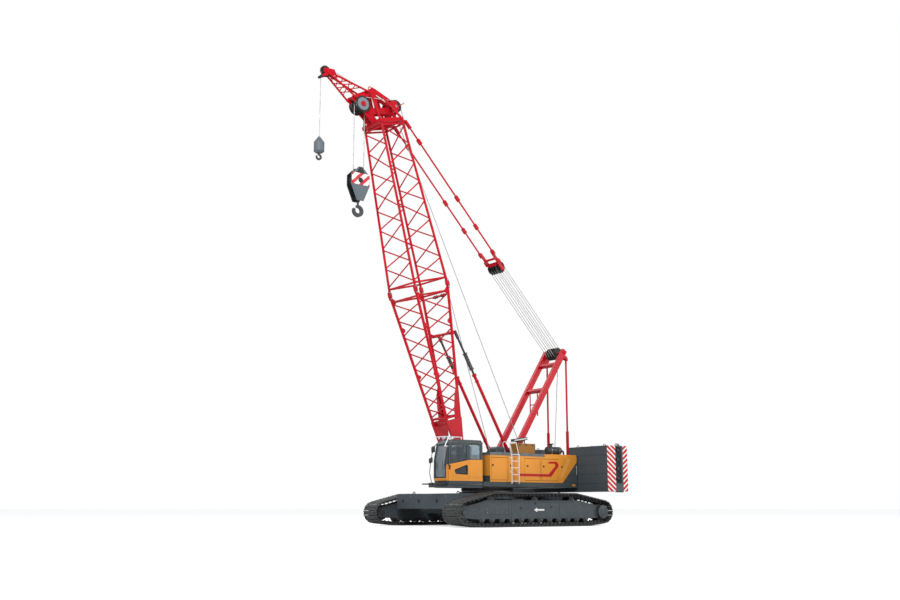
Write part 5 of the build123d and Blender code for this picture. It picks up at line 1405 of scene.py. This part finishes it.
def winding(kit, centre, radius, half, wire, turns):
    """Rope wound on a drum: one helix from flange to flange."""
    points, steps = [], 28
    for k in range(turns * steps + 1):
        a = math.tau * k / steps
        along = -half + 2 * half * k / (turns * steps)
        points.append(centre + Vector((radius * math.cos(a), along, radius * math.sin(a))))
    kit.pipe(points, wire, 6)


ROPE = 0.0155  # radius of the hoist ropes
ROPE_ROUND = 0.302  # radius at which a rope leaves its drum
DRUMS = {"front_hoist_drum": (0.10, 2.25), "rear_hoist_drum": (-1.15, 2.25), "boom_hoist_drum": (-2.50, 2.25)}


def build_drums():
    """A full winding of rope and two rings of bolts on each drum."""
    for name, (x, z) in DRUMS.items():
        rope, bolts = Kit(), Kit()
        winding(rope, at(x, 0, z), 0.268, 0.455, ROPE, 29)
        for side in (-1, 1):
            bolts.bolt_circle(at(x, side * 0.505, z), outward(side), 0.33, 14, 0.014)
        rope.done(f"{name}_rope", "wire_rope", f"{name}_body", "wire_rope")
        bolts.done(f"{name}_bolts", "bare_steel", f"{name}_body", "dark_steel")


build_counterweight_gear()
build_drums()


# Boom, head and rigging ------------------------------------------------------------------------------

ROPE_STEP = 0.25


def between(start, end):
    """Points along a straight line, no more than ROPE_STEP apart."""
    start, end = Vector(start), Vector(end)
    count = max(1, math.ceil((end - start).length / ROPE_STEP))
    return [start.lerp(end, k / count) for k in range(count + 1)]


def boom_arc(off, y, up, radius, first, last, steps=10):
    """Points round a sheave on the boom; degrees run from the front of the boom towards its head."""
    angles = [math.radians(first + (last - first) * k / steps) for k in range(steps + 1)]
    return [on_boom(off + radius * math.cos(a), y, up + radius * math.sin(a)) for a in angles]


# Sheaves on the boom: off and up, as on_boom takes them, and the radius their rope runs on.
HEAD_SHEAVE = (0.98, 15.48, 0.30)
GUIDE_SHEAVE = (-0.60, 15.33, 0.24)
JIB_SHEAVE = (2.26, 16.93, 0.20)
# Sheaves below the deck's top, from the slewing axis.
BOOM_GUIDE = Vector((-3.60, 0, 2.62))
HOIST_GUIDE = Vector((-2.26, -0.25, 2.61))


def guide_sheave(kit, middle, half):
    """A small sheave on a cross shaft, below the deck's top."""
    x, y, z = middle
    profile = (0, 0.14), (0.010, 0.14), (0.024, 0.118), (0.046, 0.118), (0.060, 0.14), (0.070, 0.14)
    kit.turned(at(x, y - 0.035, z), ACROSS, profile, 32)
    kit.rod(at(x, -half, z), at(x, half, z), 0.03)


def add_hoist_rope(name, lead, start, y, last, last_y, first_angle):
    """A rope that leaves its lead at the start, runs up the boom at y, and ends in an arc on its last sheave."""
    off, up, radius = GUIDE_SHEAVE
    path = between(start, on_boom(off - radius, y, up))
    path += boom_arc(off, y, up, radius, 180, 98)[1:]
    off, up, radius = last
    path += boom_arc(off, last_y, up, radius, first_angle, -15, 14)
    kit = Kit()
    kit.pipe(lead + path, ROPE, 8)
    rope = kit.done(f"{name}_hoist_rope", "wire_rope", None, "wire_rope")
    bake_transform(rope)


def build_hoist_ropes():
    """The main rope from the front drum to the head, and the auxiliary one from the rear drum to the jib."""
    x, z = DRUMS["front_hoist_drum"]
    y = 0.25
    add_hoist_rope("main", [], at(x - ROPE_ROUND, y, z), y, HEAD_SHEAVE, y, 96)
    x, z = DRUMS["rear_hoist_drum"]
    y = HOIST_GUIDE.y
    lead = [at(x, y, z + ROPE_ROUND), at(-2.24, y, 2.492), at(-2.33, y, 2.52)]
    add_hoist_rope("auxiliary", lead, at(-2.377, y, 2.60), y, JIB_SHEAVE, 0, 118)


def build_boom_hoist_rope():
    """The rope from the boom hoist drum, round its guide sheave, to the gantry head."""
    kit, sheaves = Kit(), Kit()
    x, z = DRUMS["boom_hoist_drum"]
    guide = at(*BOOM_GUIDE)
    turn = [guide + Vector(step) for step in ((0, 0, -0.12), (-0.10, 0, -0.08), (-0.15, 0, 0))]
    kit.pipe([at(x, 0, z + ROPE_ROUND), *turn, at(-4.09, 0, 7.40)], ROPE, 8)
    kit.done("boom_hoist_rope", "wire_rope", "upper", "wire_rope")
    guide_sheave(sheaves, BOOM_GUIDE, 0.60)
    guide_sheave(sheaves, HOIST_GUIDE, 0.60)
    sheaves.done("deck_guide_sheaves", "sheave_black", "upper", "sheave_grey")


def add_fall(name, node, ropes):
    """Ropes at their x and y over the height of a node."""
    low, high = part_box(node)
    kit = Kit()
    for px, py in ropes:
        kit.pipe(between((px, py, low.z), (px, py, high.z)), ROPE, 8)
    falls = kit.done(name, "wire_rope", None, "wire_rope")
    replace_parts(falls, node)
    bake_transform(falls)


def build_falls():
    """The falls of both load lines."""
    low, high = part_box("main_falls")
    ropes = (low.x + 0.013, -0.10), (high.x - 0.013, 0.10)
    add_fall("main_fall_ropes", "main_falls", ropes)
    low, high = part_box("auxiliary_fall")
    x = (low.x + high.x) / 2
    add_fall("auxiliary_fall_rope", "auxiliary_fall", ((x, 0),))


LUFFING_Y = (-0.23, -0.085, 0.085, 0.23)
BRIDLE_AXLE = 4.78


def build_luffing_ropes():
    """The ropes between gantry head and bridle."""
    kit = Kit()
    for y in LUFFING_Y:
        for above in (-0.23, 0.23):
            kit.pipe(between(on_line(0, y, above), on_line(BRIDLE_AXLE, y, above)), 0.0135, 8)
    ropes = kit.done("boom_hoist_reeving", "wire_rope", None, "wire_rope")
    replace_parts(ropes, "luffing_ropes")
    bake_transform(ropes)


def build_pendant_pins():
    """Pins at the joints of the pendants, and link plates at the bridle."""
    kit, plates = Kit(), Kit()
    pin = (0, 0.030), (0.008, 0.036), (0.116, 0.036), (0.124, 0.030)
    link = (-0.10, -0.055), (0.10, -0.055), (0.13, 0), (0.10, 0.055), (-0.10, 0.055), (-0.13, 0)
    for y in (-0.42, 0.42):
        for along in (6.87, 8.33, 11.2):
            for shift in (-0.07, 0.07):
                kit.turned(on_line(along + shift, y) - 0.062 * ACROSS, ACROSS, pin, 20)
        for along in (5.07, 5.54):
            for side in (-1, 1):
                plates.loft([[on_line(along + a, y + side * off, b) for a, b in link]
                             for off in (0.052, 0.064)])
                place = on_line(along, y + side * 0.060)
                kit.turned(place, outward(side), cap(0.034, 0.014, 0.018, 0.026), 20)
    kit.done("pendant_pins", "red_paint", "boom_stays", "bare_steel")
    plates.done("bridle_link_plates", "red_paint", "boom_stays", "red_paint", bevel=0.003)


def chord_at(up):
    """How far the chords of the foot section lie off the boom's middle, across it and to its front."""
    beyond = up - 2.3
    return 0.49 + beyond * 0.0806, 0.33 + beyond * 0.0889


def build_boom_plates():
    """Foot plates, gussets and section pins of the boom, and its rope rollers."""
    red, pins, bars = Kit(), Kit(), Kit()
    for side in (-1, 1):
        out = outward(side)
        rows = []
        for up, inner in ((2.25, -0.02), (2.75, -0.09), (3.30, -0.22), (3.62, -0.38)):
            y, off = chord_at(up)
            section = (-off, 0.052), (inner, 0.052), (inner, 0.060), (-off, 0.060)
            rows.append([on_boom(a, side * (y + beyond), up) for a, beyond in section])
        red.loft(rows)
        for up, half in ((7.42, 0.22), (6.20, 0.17), (4.20, 0.15)):
            y, off = chord_at(up)
            for front in (-1, 1):
                edge, inner, tip = front * off, front * (off - 0.17), 0.3 * half
                gusset = (edge, up - half), (inner, up - tip), (inner, up + tip), (edge, up + half)
                red.loft([boom_face(side * (y + dy), gusset) for dy in (-0.008, 0.004)])
        for up in (7.58, 7.84):
            for front in (-1, 1):
                for end in (-1, 1):
                    place = on_boom(front * 0.81, side * 0.925 + end * 0.058, up)
                    pins.turned(place, outward(end), cap(0.042, 0.020, 0.026, 0.034), 20)
        foot = on_boom(0, side * 0.548, 0)
        pins.turned(foot, out, cap(0.115, 0.018, 0.026, 0.100), 28)
        pins.bolt_circle(foot + 0.022 * out, out, 0.075, 6, 0.012)

    up = 7.30
    y, off = chord_at(up)
    for side in (-1, 1):
        red.pipe([on_boom(-off - 0.04, side * 0.42, up), on_boom(-off - 0.20, side * 0.42, up)], 0.025)
    red.rod(on_boom(-off, -y, up), on_boom(-off, y, up), 0.028)
    bars.rod(on_boom(-off - 0.20, -0.46, up), on_boom(-off - 0.20, 0.46, up), 0.045, 16)
    roller = (0, 0.075), (0.01, 0.075), (0.03, 0.052), (0.13, 0.052), (0.15, 0.075), (0.16, 0.075)
    for y in (-0.25, 0.25):
        bars.turned(on_boom(-off - 0.20, y - 0.08, up), ACROSS, roller, 24)
    red.done("boom_gussets", "red_paint", "boom", "red_paint", bevel=0.003)
    pins.done("boom_pins", "pin_steel", "boom", "bare_steel")
    bars.done("boom_rope_rollers", "dark_steel", "boom", "sheave_grey")


def build_head():
    """Sheave covers, guide sheave plates and pins at the head, and the bracket and roller at the jib's tip."""
    red, dish, dark, pins = Kit(), Kit(), Kit(), Kit()
    off, up, _ = HEAD_SHEAVE
    tip, lift, _ = JIB_SHEAVE
    ear = (-0.35, 15.02), (-0.62, 15.06), (-0.74, 15.28), (-0.66, 15.52), (-0.42, 15.60), (-0.30, 15.44)
    hub = (-0.01, 0.112), (0.030, 0.112), (0.040, 0.100), (0.042, 0.055), (0.060, 0.050), (0.066, 0.040)
    hollow = (0, 0.268), (0.016, 0.262), (0.012, 0.230), (0.004, 0.150), (0.010, 0.120)
    rim = (0, 0.303), (0.006, 0.303), (0.010, 0.296), (0.010, 0.274), (0.002, 0.270)
    roller = (0, 0.035), (0.02, 0.055), (0.24, 0.055), (0.26, 0.035)
    for side in (-1, 1):
        out = outward(side)
        centre = on_boom(off, side * 0.287, up)
        dish.turned(centre, out, hollow, 48)
        dark.turned(centre, out, rim, 48)
        red.turned(centre, out, hub, 32)
        pins.bolt_circle(centre + 0.036 * out, out, 0.080, 8, 0.010)
        red.loft([boom_face(side * y, ear) for y in (0.300, 0.318)])
        pins.turned(on_boom(-0.60, side * 0.318, 15.33), out, cap(0.055, 0.014, 0.020, 0.045), 24)
        for place in boom_face(side * 0.318, ((-0.42, 15.09), (-0.67, 15.26), (-0.46, 15.53), (-0.60, 15.50))):
            pins.bolt(place, out, 0.014)
        for a, b in ((-0.45, 15.06), (-0.46, 15.57)):
            red.rod(on_boom(a, side * 0.18, b), on_boom(a, side * 0.31, b), 0.022)
        pins.turned(on_boom(tip, side * 0.080, lift), out, cap(0.060, 0.020, 0.026, 0.050), 24)
    red.rod(on_boom(-0.64, 0.33, 15.30), on_boom(-1.02, 0.33, 15.43), 0.018)
    red.rod(on_boom(-0.66, 0.31, 15.30), on_boom(-0.66, 0.34, 15.30), 0.030)
    dark.turned(on_boom(2.55, -0.13, 16.72), ACROSS, roller, 20)
    bracket = (2.22, 16.74), (2.57, 16.68), (2.59, 16.75), (2.30, 16.86)
    for y in (-0.10, 0.10):
        red.loft([boom_face(y + dy, bracket) for dy in (-0.006, 0.006)])
    angles = [math.radians(-50 + 28 * k) for k in range(11)]
    red.pipe(boom_face(0, [(0.30 + 0.085 * math.cos(a), 16.15 + 0.12 * math.sin(a)) for a in angles]), 0.020)
    red.done("head_plates_and_hubs", "red_paint", "boom", "red_paint", bevel=0.003)
    dish.done("head_sheave_dishes", "dish_grey", "boom", "sheave_grey")
    dark.done("head_rims_and_rollers", "sheave_black", "boom", "sheave_grey")
    pins.done("head_pins", "pin_steel", "boom", "bare_steel")


BLOCK_CENTRE = Vector((4.6561, 0, 13.499))
BLOCK_FACE = 0.190  # y of the outer faces of its cheeks
STRIPED_PLATE = (
    (-0.405, -0.185), (0.405, -0.185), (0.405, 0.225), (0.335, 0.295), (-0.335, 0.295), (-0.405, 0.225))
UPPER_PLATE = (-0.20, 0.300), (0.20, 0.300), (0.05, 0.545), (-0.05, 0.545)
LOWER_PLATE = (-0.36, -0.205), (0.36, -0.205), (0.125, -0.80), (-0.125, -0.80)


def block_face(y, outline):
    """An outline in x and z from the middle of the hook block, on a plane of constant y."""
    return [BLOCK_CENTRE + Vector((x, y, z)) for x, z in outline]


def build_hook_block():
    """The block's striped, upper and lower plates, its bosses and bolts."""
    plate, black, bolts, grey = Kit(), Kit(), Kit(), Kit()
    boss = (0, 0.105), (0.012, 0.105), (0.018, 0.080), (0.030, 0.060), (0.034, 0.045)
    for side in (-1, 1):
        out = outward(side)
        plate.prism(block_face(side * BLOCK_FACE, STRIPED_PLATE), 0.008 * out)
        black.prism(block_face(side * BLOCK_FACE, UPPER_PLATE), 0.010 * out)
        grey.prism(block_face(side * BLOCK_FACE, LOWER_PLATE), 0.010 * out)
        black.turned(BLOCK_CENTRE + (BLOCK_FACE + 0.008) * out, out, boss, 28)
        corners = (-0.36, -0.14), (0.36, -0.14), (-0.36, 0.20), (0.36, 0.20), (0, 0.25), (0, -0.14)
        for place in block_face(side * (BLOCK_FACE + 0.008), corners):
            bolts.bolt(place, out, 0.017)
        ends = (-0.27, -0.26), (0.27, -0.26), (-0.11, -0.70), (0.11, -0.70), (0, 0.44)
        for place in block_face(side * (BLOCK_FACE + 0.010), ends):
            bolts.bolt(place, out, 0.014)
    for face in plate.mesh.faces:
        for loop in face.loops:
            loop[plate.uv].uv = (loop.vert.co.x, loop.vert.co.z)
    plate.done("hook_block_striped_plates", "warning_stripes", "main_block", "white_paint", bevel=0.002)
    black.done("hook_block_caps", "sheave_black", "main_block", "block_grey", bevel=0.002)
    grey.done("hook_block_lower_plates", "block_grey", "main_block", "block_grey", bevel=0.002)
    bolts.done("hook_block_bolts", "bare_steel", "main_block", "bare_steel")


BACKSTOP = Vector((2.67, 0, 4.66)).normalized()


def build_backstop_springs():
    """A spring round each backstop rod, and bands on its tube."""
    foot = Vector(JOINTS["backstop_swing"]["pos_m"])
    sides = square_to(BACKSTOP)
    turns, steps = 9, 16
    for word, side in SIDES:
        spring, bands = Kit(), Kit()
        base = Vector((foot.x, side * 0.58, foot.z))
        line = []
        for k in range(turns * steps + 1):
            a = math.tau * k / steps
            along = 3.68 + 0.66 * k / (turns * steps)
            line.append(base + along * BACKSTOP + 0.080 * (math.cos(a) * sides[0] + math.sin(a) * sides[1]))
        spring.pipe(line, 0.011, 6)
        coil = spring.done(f"{word}_backstop_spring", "bare_steel", None, "bare_steel")
        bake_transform(coil)
        for along in (0.42, 3.10):
            band = (0, 0.078), (0.012, 0.084), (0.048, 0.084), (0.060, 0.078)
            bands.turned(base + along * BACKSTOP, BACKSTOP, band, 28)
        bands.done(f"{word}_backstop_bands", "red_paint", "backstop_lower", "red_paint")


def build_gantry_fittings():
    """Pins at both ends of the gantry legs, and the step frame between the front ones."""
    pins, red = Kit(), Kit()
    places = (  # x, y and z of each pin, and its radius
        (-0.95, 0.672, 3.02, 0.075), (-3.85, 0.672, 7.42, 0.085),
        (-3.98, 0.690, 2.75, 0.055), (-3.98, 0.690, 7.10, 0.055),
    )
    for side in (-1, 1):
        for x, y, z, size in places:
            profile = (-0.02, size), (0.014, size), (0.022, size * 0.85)
            pins.turned(at(x, side * y, z), outward(side), profile, 28)
            pins.bolt(at(x, side * (y + 0.020), z), outward(side), 0.018)
        red.rod(at(-2.62, side * 0.24, 5.66), at(-2.62, side * 0.24, 4.60), 0.026)
        for z in (5.10, 4.85):
            red.rod(at(-2.62, -0.24, z), at(-2.62, 0.24, z), 0.020)
    red.done("gantry_step_frame", "red_paint", "upper", "red_paint")
    pins.done("gantry_pins", "red_paint", "upper", "bare_steel")


build_hoist_ropes()
build_boom_hoist_rope()
build_falls()
build_luffing_ropes()
build_pendant_pins()
build_boom_plates()
build_head()
build_hook_block()
build_backstop_springs()
build_gantry_fittings()
